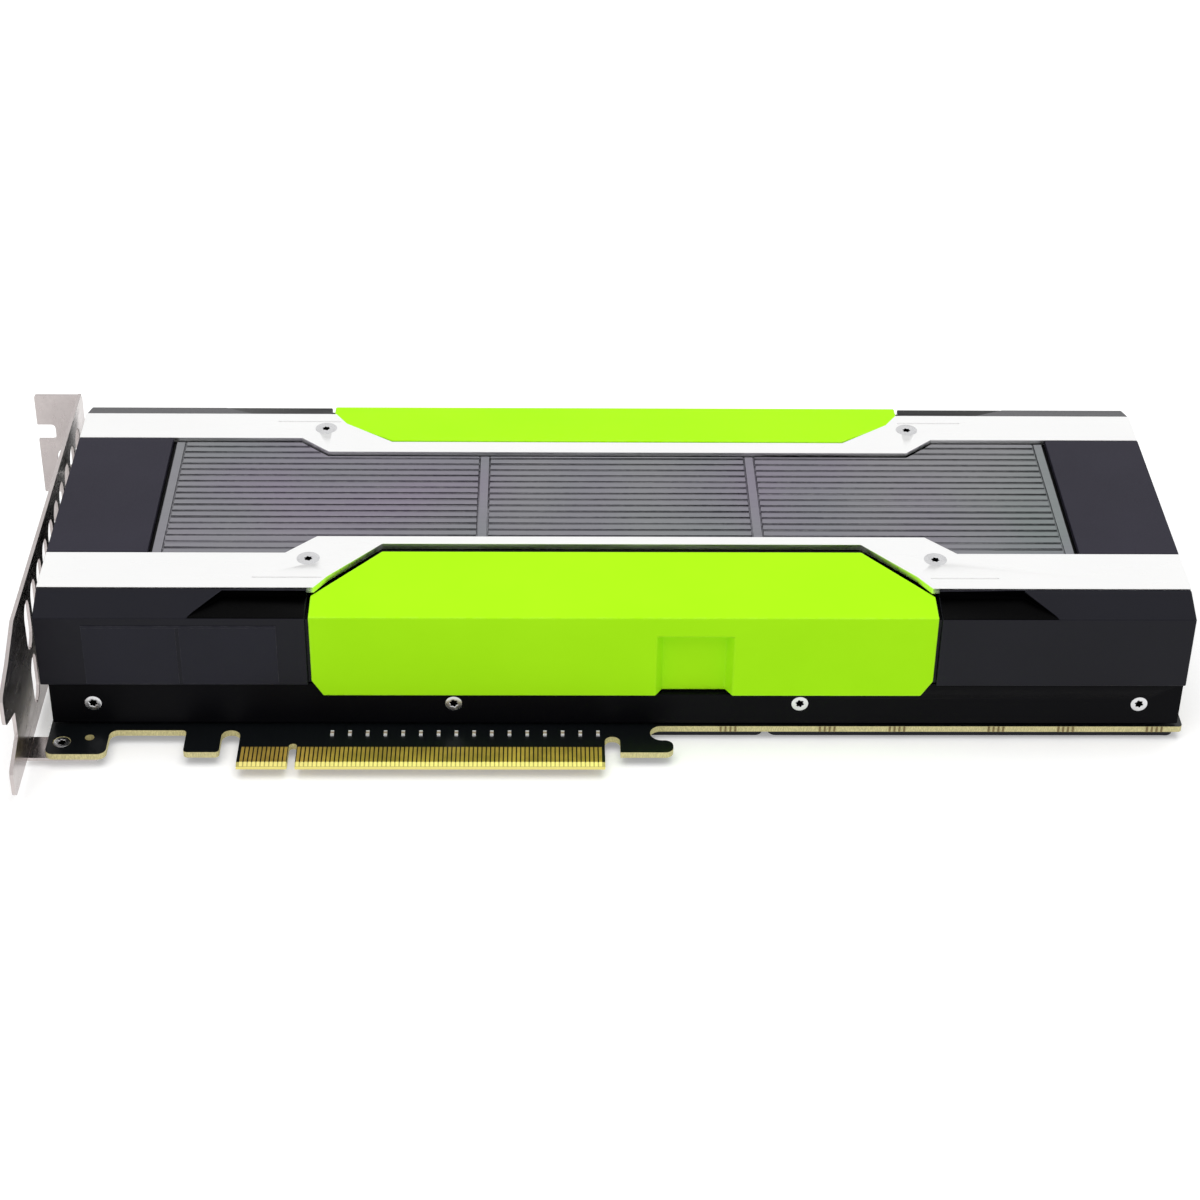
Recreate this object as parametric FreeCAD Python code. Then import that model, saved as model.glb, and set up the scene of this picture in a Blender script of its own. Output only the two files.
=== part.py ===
"""Passive accelerator card: a two-slot add-in card that is cooled by the server's own air.

Everything is drawn in the board's own frame, in millimetres. X runs from the board's bracket
edge to its rear edge, Y from the front of the gold fingers to the far long edge, and Z up from
the component face. Each piece is moved to the row's frame, whose origin is the centre of the
whole card's bounding box, at its lowest face, when it is saved.
"""
import FreeCAD, Part
import math
import os

V = FreeCAD.Vector

TANGENT_GAP = 0.01              # keeps a straight sliver between two rounds of a full end
PAST = 1.0                      # how far a cutting shape runs past the face it cuts

# ---------------------------------------------------------------- driving dimensions
# Circuit board
BOARD_LENGTH = 266.7
BOARD_DEPTH = 111.15
BOARD_THICKNESS = 1.57
BOARD_CORNER = 1.0
BOARD_FRONT = 15.2              # front long edge, behind the fingers

# Edge connector: two runs of contacts either side of the key notch
KEY_X = 57.15
KEY_WIDTH = 1.9
KEY_DEPTH = 8.25
FINGER_PITCH = 1.0
FINGER_KEY_OFFSET = 1.5         # key centre to the first contact on each side
SHORT_RUN = 11
LONG_RUN = 71
FINGER_EDGE_MARGIN = 1.1        # last contact's centre to the end of its run
FINGER_WIDTH = 0.7
FINGER_START = 1.4
FINGER_LENGTH = 5.6
FINGER_THICKNESS = 0.05
BEVEL_DEPTH = 1.3
BEVEL_HEIGHT = 0.42

# Front edge of the board: left tab, narrow tab and the retention hook
LEFT_TAB_WIDTH = 14.0
LEFT_TAB_Y = 4.2
LEFT_TAB_HOLE = (9.6, 10.6)
LEFT_TAB_HOLE_RADIUS = 1.1
RECESS_Y = 13.4
NARROW_TAB_GAP = 4.4            # between the narrow tab and the short run of contacts
NARROW_TAB_WIDTH = 8.3
NARROW_TAB_Y = 5.0
HOOK_GAP = 3.6
HOOK_GAP_Y = 11.0
HOOK_LENGTH = 12.4
HOOK_Y = 5.0
HOOK_THICKNESS = 4.7
HOOK_SLOT_DEPTH = 5.3           # how far the slot behind the hook runs towards the fingers
OUTLINE_RADIUS = 2.0

# Height levels above the component face
TOP_Z = 34.3                    # top of rails and end panels
SEAM_Z = 12.4                   # joint between housing and base frame
WALL_TOP_Z = 31.2               # where the long walls turn into the chamfer
CHAMFER_TOP_Z = 34.0

# Housing
SHROUD_OVERHANG = 1.2           # past the board's bracket edge
SHROUD_REAR_MARGIN = 1.1
WALL_FRONT_MARGIN = 0.9         # the near wall stands this far in front of the board's edge
WALL_REAR_MARGIN = 0.55
CHAMFER_WIDTH = 8.1
SHROUD_WALL = 1.6
DECK_THICKNESS = 1.6
CEILING_DROP = 0.2
POCKET_DROP = 1.9               # depth of the pocket in the chamfer beside each cover
POCKET_RUN = 29.0               # length of the pocket along the wall, from the cover
POCKET_SLANT = 9.5
POCKET_LEDGE = 0.5

# Base frame
FRAME_END_MARGIN = 0.4
FRAME_REAR_MARGIN = 1.3
FRAME_WALL = 1.8
FRAME_FLOOR_Z = 2.4
FRAME_FLOOR = 1.6
FRAME_BOARD_GAP = 0.6
SEAM_GAP = 0.3
BOSS_RADIUS = 2.8
BOSS_RISE = 2.0
LUG_WIDTH = 7.0                 # threaded tongues of the housing, inside the frame's walls
LUG_THICKNESS = 2.4
LUG_CLEAR = 0.1

# Covers
COVER_FRONT = 62.8              # housing's ends to the covers
COVER_REAR = 59.4
COVER_THICKNESS = 1.2
COVER_GAP = 0.8
COVER_TOP_Z = 33.7
COVER_EDGE_Z = 31.5
COVER_BOTTOM_Z = 9.4
COVER_SLANT = 15.7              # length along X of the slanted top corners
COVER_CORNER = 2.6
NEAR_COVER_DEPTH = 24.6         # crease to the inner edge of the near cover's top
FAR_COVER_DEPTH = 20.6
COVER_SIDE_RUN = 8.0            # straight part of the top's short edges
GRIP_REAR = 55.7                # cover's rear end to the middle of its recess
GRIP_WIDTH = 17.9
GRIP_HEIGHT = 16.8
GRIP_DEPTH = 2.6
GRIP_DRAFT = 1.6
GRIP_CLEAR = 0.4

# Rails: plan sizes are taken from the housing's chamfer and from the covers
RAIL_THICKNESS = 1.7
RAIL_GAP = 0.3
NEAR_RAIL_WIDTH = 14.6
NEAR_WAIST_SHIFT = 18.6         # outer edge of the wide part to that of the narrow part
NEAR_WAIST_WIDTH = 3.2
FAR_RAIL_WIDTH = 12.0
FAR_WAIST_SHIFT = 13.8
FAR_WAIST_WIDTH = 4.8
RAIL_INNER_LEAD = 7.7           # the inner slant starts this far before the outer one
RAIL_INNER_SLANT = 7.0
RAIL_NOTCH = 1.5                # small step where the outer slant begins
RAIL_NOTCH_DEPTH = 2.4
RAIL_SCORE_Y = 4.0
RAIL_SCORE_LENGTH = 16.0
RAIL_SCORE = 0.25
RAIL_SCREW_LEAD = 2.1
NEAR_SCREW_INSET = 12.2
FAR_SCREW_INSET = 7.2

# Centre panel and end panels
END_PANEL_LENGTH = 23.6
END_PANEL_GAP = 0.9
RIB_PITCH = 2.74
RIB_WIDTH = 1.9
RIB_BASE = 0.5
RIB_HEIGHT = 0.45
RIB_END_GAP = 0.3
BAND_WIDTH = 2.2
FRONT_BAND = 77.4
REAR_BAND = 74.6
PANEL_BORDER = 2.2
PANEL_GAP = 0.5

# Bracket
BRACKET_GAP = 3.8               # board edge to the bracket's inner face
BRACKET_SHEET = 0.86
BRACKET_LOW_Z = -3.8
BRACKET_HIGH_Z = 34.9
TAB_FACE_Y = 112.0
TAB_LENGTH = 11.4
TAB_TOP_Z = 34.2
SLOT_PITCH = 20.32
UPPER_SLOT_Z = 23.4
SCREW_SLOT_WIDTH = 4.42
SCREW_SLOT_DEPTH = 4.6
TAB_RELIEF_RADIUS = 2.7
TAB_RELIEF_REACH = 4.4
TAB_RELIEF_RISE = 2.6
TAB_ROOT_ROUND = 1.0
TAB_BEND_ROUND = 1.2
TAB_END_ROUND = 0.6
TONGUE_END_Y = -11.5
TONGUE_ROOT_Y = -2.0
TONGUE_ROOT_WIDTH = 13.6
TONGUE_ROOT_ROUND = 0.5
TONGUE_TIP_ROUND = 2.0
TONGUE_END_WIDTH = 7.4
PLATE_CORNER_Y = 8.0
VENT_PITCH = 8.7
VENT_WIDTH = 6.5
VENT_HEIGHT = 12.6
VENT_ROWS = 2
VENT_COLUMNS = 10
VENT_FIRST_Y = 18.5
VENT_MID_Z = 16.6
VENT_BRIDGE = 2.6
FOOT_WIDTH = 8.2
FOOT_LENGTH = 12.0
FOOT_HOLE_X = 3.4
FOOT_NEAR_Y = 8.9
FOOT_FAR_Y = 103.0

# Processor and memory
CHIP_X = 112.0
CHIP_SHIFT = 0.05               # housing's middle to the processor's, towards the far edge
SUBSTRATE = 50.0
SUBSTRATE_HEIGHT = 2.0
DIE_LENGTH = 26.0
DIE_WIDTH = 24.0
DIE_HEIGHT = 0.8
WINDOW_GAP = 2.0
COOLER_SCREW_EDGE = 3.0         # window's edge to the cooler screws
MEMORY_LENGTH = 14.0
MEMORY_WIDTH = 12.0
MEMORY_HEIGHT = 1.1
MEMORY_SPACE = 2.0
CONTROLLER = 7.0
CONTROLLER_HEIGHT = 0.9
CONTROLLER_PLACES = ((30.0, 40.0), (30.0, 82.0), (240.0, 36.0), (240.0, 62.0))

# Power parts, in rows behind the cooler
COIL_SIZE = 8.0
COIL_HEIGHT = 5.0
COIL_SPACE = 1.6
COIL_LEAD = 10.5                # chamber's rear edge to the inductors' centre line
STAGE_LENGTH = 6.0
STAGE_WIDTH = 5.0
STAGE_HEIGHT = 0.9
STAGE_LEAD = 10.5
PAD_THICKNESS = 0.5
CAN_RADIUS = 4.0
CAN_HEIGHT = 8.0
CAN_PITCH = 11.0
CAN_SIDE_SPACE = 5.0
CAN_LEAD = 15.0
CAN_BASE = 1.0
CAN_INSET = 0.3
POWER_WINDOW_MARGIN = 6.0
CAPACITOR_COUNT = 16
CAPACITOR_X0 = 66.0
CAPACITOR_X1 = 128.2
CAPACITOR_Y = 12.0
CAPACITOR_LENGTH = 1.6
CAPACITOR_WIDTH = 0.8
CAPACITOR_HEIGHT = 0.5

# Cooler
CHAMBER_FRONT = 70.0            # processor's centre to the chamber's bracket end
CHAMBER_REAR = 74.0
CHAMBER_THICKNESS = 3.0
CHAMBER_CORNER = 3.0
CHAMBER_MARGIN = 6.5            # between the chamber's edge and the frame's wall
CHAMBER_THREAD = 2.4
PEDESTAL_INSET = 3.0
FIN_INSET = 1.0
FIN_PITCH = 2.0
FIN_THICKNESS = 0.4
FIN_BASE = 0.6
FIN_TOP_GAP = 0.3
SINK_LENGTH = 8.0
SINK_HEIGHT = 12.0
SINK_BASE = 1.6
SINK_FIN_PITCH = 3.6
SINK_FIN_THICKNESS = 0.9

# Power socket: two rows of four square cells that open at the rear
SOCKET_ROWS = 2
SOCKET_COLUMNS = 4
SOCKET_PITCH = 4.2
SOCKET_CELL = 3.5
SOCKET_WALL = 1.0
SOCKET_DEPTH = 14.0
SOCKET_FLOOR = 3.0
SOCKET_SPACE = 1.4
SOCKET_Z = 0.6
PIN_WIDTH = 1.07
PIN_LENGTH = 8.0
LATCH_WIDTH = 4.6
LATCH_HEIGHT = 2.2
LATCH_LENGTH = 6.0

# Back of the board
BACK_GAP = 1.2
BACKPLATE = 1.2
BACKPLATE_INSET = 1.4
BACKPLATE_FRONT_INSET = 1.8
BACKPLATE_CORNER = 2.0
BACKPLATE_SPLIT_X = 168.0
BACKPLATE_SPLIT_GAP = 1.2
BACK_SCREW_END = 18.6           # ends of the card to the outer screws
BACK_SCREW_SPLIT = 16.0         # split between the backplates to the inner screws
BRACE_MARGIN = 6.5
BRACE_THICKNESS = 1.0
BRACE_ARM = 9.0
BRACE_TIP = 2.7
BRACE_HUB = 30.0

# Screws
SHANK_RADIUS = 1.2
SHANK_CLEARANCE = 0.05
FREE_CLEARANCE = 0.2
RAIL_HEAD_RADIUS = 2.75
SMALL_HEAD_RADIUS = 2.0
HEAD_CLEARANCE = 0.05
HEAD_HEIGHT = 1.3
RECESS_RADIUS = 1.0
RECESS_DEPTH = 0.8
SIDE_SCREW_FRONT_END = 9.9      # frame's ends to the outer side screws
SIDE_SCREW_REAR_END = 9.8
SIDE_SCREW_FRONT = 32.8         # cover's ends to the inner side screws
SIDE_SCREW_REAR = 30.6
SIDE_SCREW_Z = 6.3
SCREW_PROUD = 0.4               # how far a screw's end stands past its thread
REAR_HOLE_RADIUS = 1.25
REAR_HOLE_DEPTH = 8.0
REAR_HOLE_Z = 8.0
REAR_BLOCK = 6.4

# ---------------------------------------------------------------- sizes that follow
BOARD_BOTTOM_Z = -BOARD_THICKNESS
BACK_TOP_Z = BOARD_BOTTOM_Z - BACK_GAP
BACK_BOTTOM_Z = BACK_TOP_Z - BACKPLATE
DECK_Z = TOP_Z - RAIL_THICKNESS
DECK_LOW_Z = DECK_Z - DECK_THICKNESS
FLOOR_TOP_Z = FRAME_FLOOR_Z + FRAME_FLOOR
FRAME_TOP_Z = SEAM_Z - SEAM_GAP

WALL_NEAR_Y = BOARD_FRONT - WALL_FRONT_MARGIN
WALL_FAR_Y = BOARD_DEPTH - WALL_REAR_MARGIN
MID_Y = (WALL_NEAR_Y + WALL_FAR_Y) / 2
FRAME_NEAR_Y = WALL_NEAR_Y + COVER_THICKNESS
FRAME_FAR_Y = WALL_FAR_Y - COVER_THICKNESS
INNER_NEAR_Y = FRAME_NEAR_Y + FRAME_WALL
INNER_FAR_Y = FRAME_FAR_Y - FRAME_WALL
SHROUD_X0 = -SHROUD_OVERHANG
SHROUD_X1 = BOARD_LENGTH - SHROUD_REAR_MARGIN
FRAME_X0 = FRAME_END_MARGIN
FRAME_X1 = BOARD_LENGTH - FRAME_REAR_MARGIN

SHORT_RUN_END = KEY_X - FINGER_KEY_OFFSET - (SHORT_RUN - 1) * FINGER_PITCH - FINGER_EDGE_MARGIN
LONG_RUN_END = KEY_X + FINGER_KEY_OFFSET + (LONG_RUN - 1) * FINGER_PITCH + FINGER_EDGE_MARGIN

NEAR_RAIL_OUTER = WALL_NEAR_Y + CHAMFER_WIDTH + RAIL_GAP
NEAR_RAIL_INNER = NEAR_RAIL_OUTER + NEAR_RAIL_WIDTH
NEAR_WAIST_OUTER = NEAR_RAIL_OUTER + NEAR_WAIST_SHIFT
NEAR_WAIST_INNER = NEAR_WAIST_OUTER + NEAR_WAIST_WIDTH
FAR_RAIL_OUTER = WALL_FAR_Y - CHAMFER_WIDTH - RAIL_GAP
FAR_RAIL_INNER = FAR_RAIL_OUTER - FAR_RAIL_WIDTH
FAR_WAIST_OUTER = FAR_RAIL_OUTER - FAR_WAIST_SHIFT
FAR_WAIST_INNER = FAR_WAIST_OUTER - FAR_WAIST_WIDTH
COVER_X0 = SHROUD_X0 + COVER_FRONT
COVER_X1 = SHROUD_X1 - COVER_REAR
GRIP_X = COVER_X1 - GRIP_REAR
SIDE_SCREW_X = (FRAME_X0 + SIDE_SCREW_FRONT_END, COVER_X0 + SIDE_SCREW_FRONT,
                COVER_X1 - SIDE_SCREW_REAR, FRAME_X1 - SIDE_SCREW_REAR_END)
RAIL_SLANT = COVER_SLANT - COVER_GAP
FRONT_SLANT_X = COVER_X0 + COVER_GAP
REAR_SLANT_X = COVER_X1 - COVER_GAP
FRONT_INNER_X = FRONT_SLANT_X - RAIL_INNER_LEAD
REAR_INNER_X = REAR_SLANT_X + RAIL_INNER_LEAD

PANEL_X0 = SHROUD_X0 + END_PANEL_LENGTH + END_PANEL_GAP
PANEL_X1 = SHROUD_X1 - END_PANEL_LENGTH - END_PANEL_GAP
BAND_X = (PANEL_X0 + FRONT_BAND, PANEL_X1 - REAR_BAND)

BRACKET_INNER_X = -BRACKET_GAP
BRACKET_OUTER_X = BRACKET_INNER_X - BRACKET_SHEET
TAB_END_X = BRACKET_OUTER_X - TAB_LENGTH

CHIP_Y = MID_Y + CHIP_SHIFT
WINDOW = SUBSTRATE + 2 * WINDOW_GAP
PEDESTAL = SUBSTRATE - 2 * PEDESTAL_INSET
COOLER_SCREW_PITCH = WINDOW + 2 * COOLER_SCREW_EDGE
MEMORY_OFFSET = COOLER_SCREW_PITCH / 2 + MEMORY_WIDTH / 2 + MEMORY_SPACE
MEMORY_PITCH = MEMORY_LENGTH + MEMORY_SPACE
CHAMBER_X0 = CHIP_X - CHAMBER_FRONT
CHAMBER_X1 = CHIP_X + CHAMBER_REAR
CHAMBER_Y0 = INNER_NEAR_Y + CHAMBER_MARGIN
CHAMBER_Y1 = INNER_FAR_Y - CHAMBER_MARGIN
CHAMBER_TOP_Z = FLOOR_TOP_Z + CHAMBER_THICKNESS
POWER_Y0 = INNER_NEAR_Y + POWER_WINDOW_MARGIN
POWER_Y1 = INNER_FAR_Y - POWER_WINDOW_MARGIN
COIL_PITCH = COIL_SIZE + COIL_SPACE
COIL_COUNT = int((POWER_Y1 - POWER_Y0) / COIL_PITCH)
CAN_COUNT = int((POWER_Y1 - POWER_Y0 - 2 * CAN_SIDE_SPACE) / CAN_PITCH)
COIL_X = CHAMBER_X1 + COIL_LEAD
STAGE_X = COIL_X + STAGE_LEAD
CAN_X = STAGE_X + CAN_LEAD

REAR_BLOCK_NEAR_Y = INNER_NEAR_Y + LUG_THICKNESS + SCREW_PROUD + LUG_CLEAR
REAR_BLOCK_FAR_Y = INNER_FAR_Y - LUG_THICKNESS - SCREW_PROUD - LUG_CLEAR
SOCKET_WIDTH = SOCKET_COLUMNS * SOCKET_PITCH + SOCKET_WALL
SOCKET_HEIGHT = SOCKET_ROWS * SOCKET_PITCH + SOCKET_WALL
SOCKET_Y = REAR_BLOCK_FAR_Y - REAR_BLOCK - SOCKET_SPACE - SOCKET_WIDTH / 2
BRACE_WINDOW = COOLER_SCREW_PITCH + 2 * BRACE_MARGIN
RAIL_SCREW_LENGTH = TOP_Z - DECK_LOW_Z
SIDE_SCREW_LENGTH = FRAME_WALL + LUG_THICKNESS + SCREW_PROUD
FOOT_PLACES = (FOOT_NEAR_Y, FOOT_FAR_Y)
COVER_SLOPE = (COVER_TOP_Z - COVER_EDGE_Z) / FAR_COVER_DEPTH
CEILING_EDGE_Z = (COVER_TOP_Z - COVER_THICKNESS - COVER_SLOPE * (FAR_COVER_DEPTH - COVER_THICKNESS)
                  - SHROUD_WALL - CEILING_DROP)
FIN_TOP_Z = CEILING_EDGE_Z - FIN_TOP_GAP

ORIGIN = V((TAB_END_X + BOARD_LENGTH) / 2, (TONGUE_END_Y + TAB_FACE_Y) / 2, BACK_BOTTOM_Z)


# ---------------------------------------------------------------- drawing helpers
def box(x0, x1, y0, y1, z0, z1):
    """A box between two corners."""
    return Part.makeBox(x1 - x0, y1 - y0, z1 - z0, V(x0, y0, z0))


def rod(start, direction, length, radius):
    """A cylinder from a point along a direction."""
    return Part.makeCylinder(radius, length, start, direction)


def wire(corners, place):
    """A closed outline of (u, v) or (u, v, radius) corners; place turns (u, v) into a point."""
    edges = []
    ends = []
    count = len(corners)
    for index, corner in enumerate(corners):
        here = V(corner[0], corner[1], 0)
        radius = corner[2] if len(corner) > 2 else 0
        if not radius:
            ends.append((here, here))
            continue
        before = V(*corners[index - 1][:2], 0) - here
        after = V(*corners[(index + 1) % count][:2], 0) - here
        half = before.getAngle(after) / 2
        before.normalize()
        after.normalize()
        run = radius / math.tan(half)
        middle = (before + after).normalize()
        centre = here + middle * (radius / math.sin(half))
        first, last = here + before * run, here + after * run
        apex = centre - middle * radius
        edges.append(Part.Arc(*[place(p.x, p.y) for p in (first, apex, last)]).toShape())
        ends.append((first, last))
    for index in range(count):
        start, stop = ends[index][1], ends[(index + 1) % count][0]
        if start.distanceToPoint(stop) > 1e-6:
            edges.append(Part.LineSegment(place(start.x, start.y), place(stop.x, stop.y)).toShape())
    return Part.Wire(Part.__sortEdges__(edges))


def plate(corners, z0, z1):
    """An (x, y) outline standing between two heights."""
    return Part.Face(wire(corners, lambda u, v: V(u, v, z0))).extrude(V(0, 0, z1 - z0))


def section(corners, x0, x1):
    """A (y, z) outline drawn out along X."""
    return Part.Face(wire(corners, lambda u, v: V(x0, u, v))).extrude(V(x1 - x0, 0, 0))


def elevation(corners, y0, y1):
    """An (x, z) outline drawn out along Y."""
    return Part.Face(wire(corners, lambda u, v: V(u, y0, v))).extrude(V(0, y1 - y0, 0))


def mirrored(corners):
    """A (y, z) or (x, y) outline's twin on the far side of the card, in its second place."""
    return [(2 * MID_Y - corner[0],) + tuple(corner[1:]) for corner in corners]


def save(name, shape):
    """Move a piece into the row's frame and write it."""
    moved = shape.copy()
    moved.translate(ORIGIN * -1)
    moved.exportStep("parts/" + name + ".step")


def group(solids):
    """Separate solids that share one node."""
    return Part.makeCompound(solids)


# ---------------------------------------------------------------- circuit board
def board_screw_places():
    """Screws through the board into the base frame's bosses."""
    near, far = INNER_NEAR_Y + BOSS_RADIUS, INNER_FAR_Y - BOSS_RADIUS
    columns = (BACKPLATE_INSET + BACK_SCREW_END, BACKPLATE_SPLIT_X - BACK_SCREW_SPLIT,
               BACKPLATE_SPLIT_X + BACK_SCREW_SPLIT, BOARD_LENGTH - BACKPLATE_INSET - BACK_SCREW_END)
    return [(x, y) for x in columns for y in (near, far)]


def cooler_screw_places():
    """Four screws round the processor, from the brace up into the cooler's base."""
    half = COOLER_SCREW_PITCH / 2
    return [(CHIP_X + i * half, CHIP_Y + j * half) for i in (-1, 1) for j in (-1, 1)]


def board_outline():
    """The board's edge, from the bracket end of the front edge, anticlockwise."""
    key_low, key_high = KEY_X - KEY_WIDTH / 2, KEY_X + KEY_WIDTH / 2
    narrow_end = SHORT_RUN_END - NARROW_TAB_GAP
    narrow_x = narrow_end - NARROW_TAB_WIDTH
    gap_radius = NARROW_TAB_GAP / 2 - TANGENT_GAP
    hook_x = LONG_RUN_END + HOOK_GAP
    hook_tip = hook_x + HOOK_LENGTH
    slot_low = HOOK_Y + HOOK_THICKNESS
    slot_radius = (BOARD_FRONT - slot_low) / 2 - TANGENT_GAP
    hook_radius = HOOK_GAP / 2 - TANGENT_GAP
    key_radius = KEY_WIDTH / 2 - TANGENT_GAP
    slot_x = hook_tip - HOOK_SLOT_DEPTH
    soft = OUTLINE_RADIUS
    return [
        (0, LEFT_TAB_Y, soft), (LEFT_TAB_WIDTH, LEFT_TAB_Y, soft),
        (LEFT_TAB_WIDTH, RECESS_Y, soft), (narrow_x, RECESS_Y, soft / 2),
        (narrow_x, NARROW_TAB_Y, soft / 2), (narrow_end, NARROW_TAB_Y, soft / 2),
        (narrow_end, RECESS_Y, gap_radius), (SHORT_RUN_END, RECESS_Y, gap_radius),
        (SHORT_RUN_END, 0), (key_low, 0),
        (key_low, KEY_DEPTH, key_radius), (key_high, KEY_DEPTH, key_radius),
        (key_high, 0), (LONG_RUN_END, 0),
        (LONG_RUN_END, HOOK_GAP_Y, hook_radius), (hook_x, HOOK_GAP_Y, hook_radius),
        (hook_x, HOOK_Y), (hook_tip, HOOK_Y, soft), (hook_tip, slot_low, soft),
        (slot_x, slot_low, slot_radius), (slot_x, BOARD_FRONT, slot_radius),
        (BOARD_LENGTH, BOARD_FRONT, BOARD_CORNER), (BOARD_LENGTH, BOARD_DEPTH, BOARD_CORNER),
        (0, BOARD_DEPTH, BOARD_CORNER)]


def circuit_board():
    board = plate(board_outline(), BOARD_BOTTOM_Z, 0)
    for low, high in ((0, BEVEL_HEIGHT), (BOARD_BOTTOM_Z, -BEVEL_HEIGHT)):
        edge = [(0, low), (BEVEL_DEPTH, low), (0, low - high)]
        board = board.cut(section(edge, SHORT_RUN_END, LONG_RUN_END))
    holes = [rod(V(x, y, BOARD_BOTTOM_Z), V(0, 0, 1), BOARD_THICKNESS, SHANK_RADIUS + FREE_CLEARANCE)
             for x, y in board_screw_places() + cooler_screw_places()]
    holes.append(rod(V(*LEFT_TAB_HOLE, BOARD_BOTTOM_Z), V(0, 0, 1), BOARD_THICKNESS,
                     LEFT_TAB_HOLE_RADIUS))
    holes += [countersink(V(FOOT_HOLE_X, y, 0), V(0, 0, -1), BOARD_THICKNESS, SMALL_HEAD_RADIUS)
              for y in FOOT_PLACES]
    return board.cut(holes)


def edge_contacts():
    """Gold contacts on both faces of the edge connector."""
    short = [KEY_X - FINGER_KEY_OFFSET - i * FINGER_PITCH for i in range(SHORT_RUN)]
    long = [KEY_X + FINGER_KEY_OFFSET + i * FINGER_PITCH for i in range(LONG_RUN)]
    contacts = []
    for x in short + long:
        for z in (0, BOARD_BOTTOM_Z - FINGER_THICKNESS):
            contacts.append(box(x - FINGER_WIDTH / 2, x + FINGER_WIDTH / 2, FINGER_START,
                                FINGER_START + FINGER_LENGTH, z, z + FINGER_THICKNESS))
    return group(contacts)


def coupling_capacitors():
    step = (CAPACITOR_X1 - CAPACITOR_X0) / (CAPACITOR_COUNT - 1)
    return group([centred(CAPACITOR_X0 + i * step, CAPACITOR_Y, CAPACITOR_WIDTH, CAPACITOR_LENGTH, 0,
                          CAPACITOR_HEIGHT) for i in range(CAPACITOR_COUNT)])


# ---------------------------------------------------------------- parts on the board
def centred(x, y, length, width, z0, z1):
    return box(x - length / 2, x + length / 2, y - width / 2, y + width / 2, z0, z1)


def memory_places():
    """Chip centres and whether each chip is turned, round the processor."""
    half = MEMORY_PITCH / 2
    sides = [(CHIP_X + i * MEMORY_OFFSET, CHIP_Y + j * half, True)
             for i in (-1, 1) for j in (-3, -1, 1, 3)]
    ends = [(CHIP_X + i * half, CHIP_Y + j * MEMORY_OFFSET, False)
            for i in (-1, 1) for j in (-1, 1)]
    return sides + ends


def memory_blocks(z0, z1):
    blocks = []
    for x, y, turned in memory_places():
        length, width = (MEMORY_WIDTH, MEMORY_LENGTH) if turned else (MEMORY_LENGTH, MEMORY_WIDTH)
        blocks.append(centred(x, y, length, width, z0, z1))
    return group(blocks)


def power_rows():
    """Y places of the power phases, centred on the card."""
    return [MID_Y + (i - (COIL_COUNT - 1) / 2) * COIL_PITCH for i in range(COIL_COUNT)]


def bulk_capacitors():
    """Round cans on square feet."""
    cans = []
    for i in range(CAN_COUNT):
        y = MID_Y + (i - (CAN_COUNT - 1) / 2) * CAN_PITCH
        foot = centred(CAN_X, y, 2 * CAN_RADIUS, 2 * CAN_RADIUS, 0, CAN_BASE)
        can = rod(V(CAN_X, y, CAN_BASE), V(0, 0, 1), CAN_HEIGHT - CAN_BASE, CAN_RADIUS - CAN_INSET)
        cans.append(foot.fuse(can))
    return group(cans)


def controller_chips():
    return group([centred(x, y, CONTROLLER, CONTROLLER, 0, CONTROLLER_HEIGHT)
                  for x, y in CONTROLLER_PLACES])


def socket_cells():
    """Centres (y, z) of the power socket's cells."""
    first_y = SOCKET_Y - (SOCKET_COLUMNS - 1) * SOCKET_PITCH / 2
    first_z = SOCKET_Z + SOCKET_WALL / 2 + SOCKET_PITCH / 2
    return [(first_y + i * SOCKET_PITCH, first_z + j * SOCKET_PITCH)
            for i in range(SOCKET_COLUMNS) for j in range(SOCKET_ROWS)]


def power_socket():
    """Block of open cells, a latch catch on top and a foot that reaches the board."""
    mouth = BOARD_LENGTH
    back = mouth - SOCKET_DEPTH
    half = SOCKET_WIDTH / 2
    top = SOCKET_Z + SOCKET_HEIGHT
    body = box(back, mouth, SOCKET_Y - half, SOCKET_Y + half, SOCKET_Z, top)
    foot = box(back + SOCKET_WALL, mouth - SOCKET_FLOOR, SOCKET_Y - half, SOCKET_Y + half, 0, SOCKET_Z)
    front, start = mouth - SOCKET_WALL, mouth - SOCKET_WALL - LATCH_LENGTH
    catch = [(start, top), (front, top), (front, top + LATCH_HEIGHT / 4),
             (front - LATCH_LENGTH / 2, top + LATCH_HEIGHT), (start, top + LATCH_HEIGHT)]
    latch = elevation(catch, SOCKET_Y - LATCH_WIDTH / 2, SOCKET_Y + LATCH_WIDTH / 2)
    cell = SOCKET_CELL / 2
    cells = [box(back + SOCKET_FLOOR, mouth, y - cell, y + cell, z - cell, z + cell)
             for y, z in socket_cells()]
    return body.fuse([foot, latch]).cut(cells).removeSplitter()


def power_pins():
    base = BOARD_LENGTH - SOCKET_DEPTH + SOCKET_FLOOR
    half = PIN_WIDTH / 2
    return group([box(base, base + PIN_LENGTH, y - half, y + half, z - half, z + half)
                  for y, z in socket_cells()])


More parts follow.
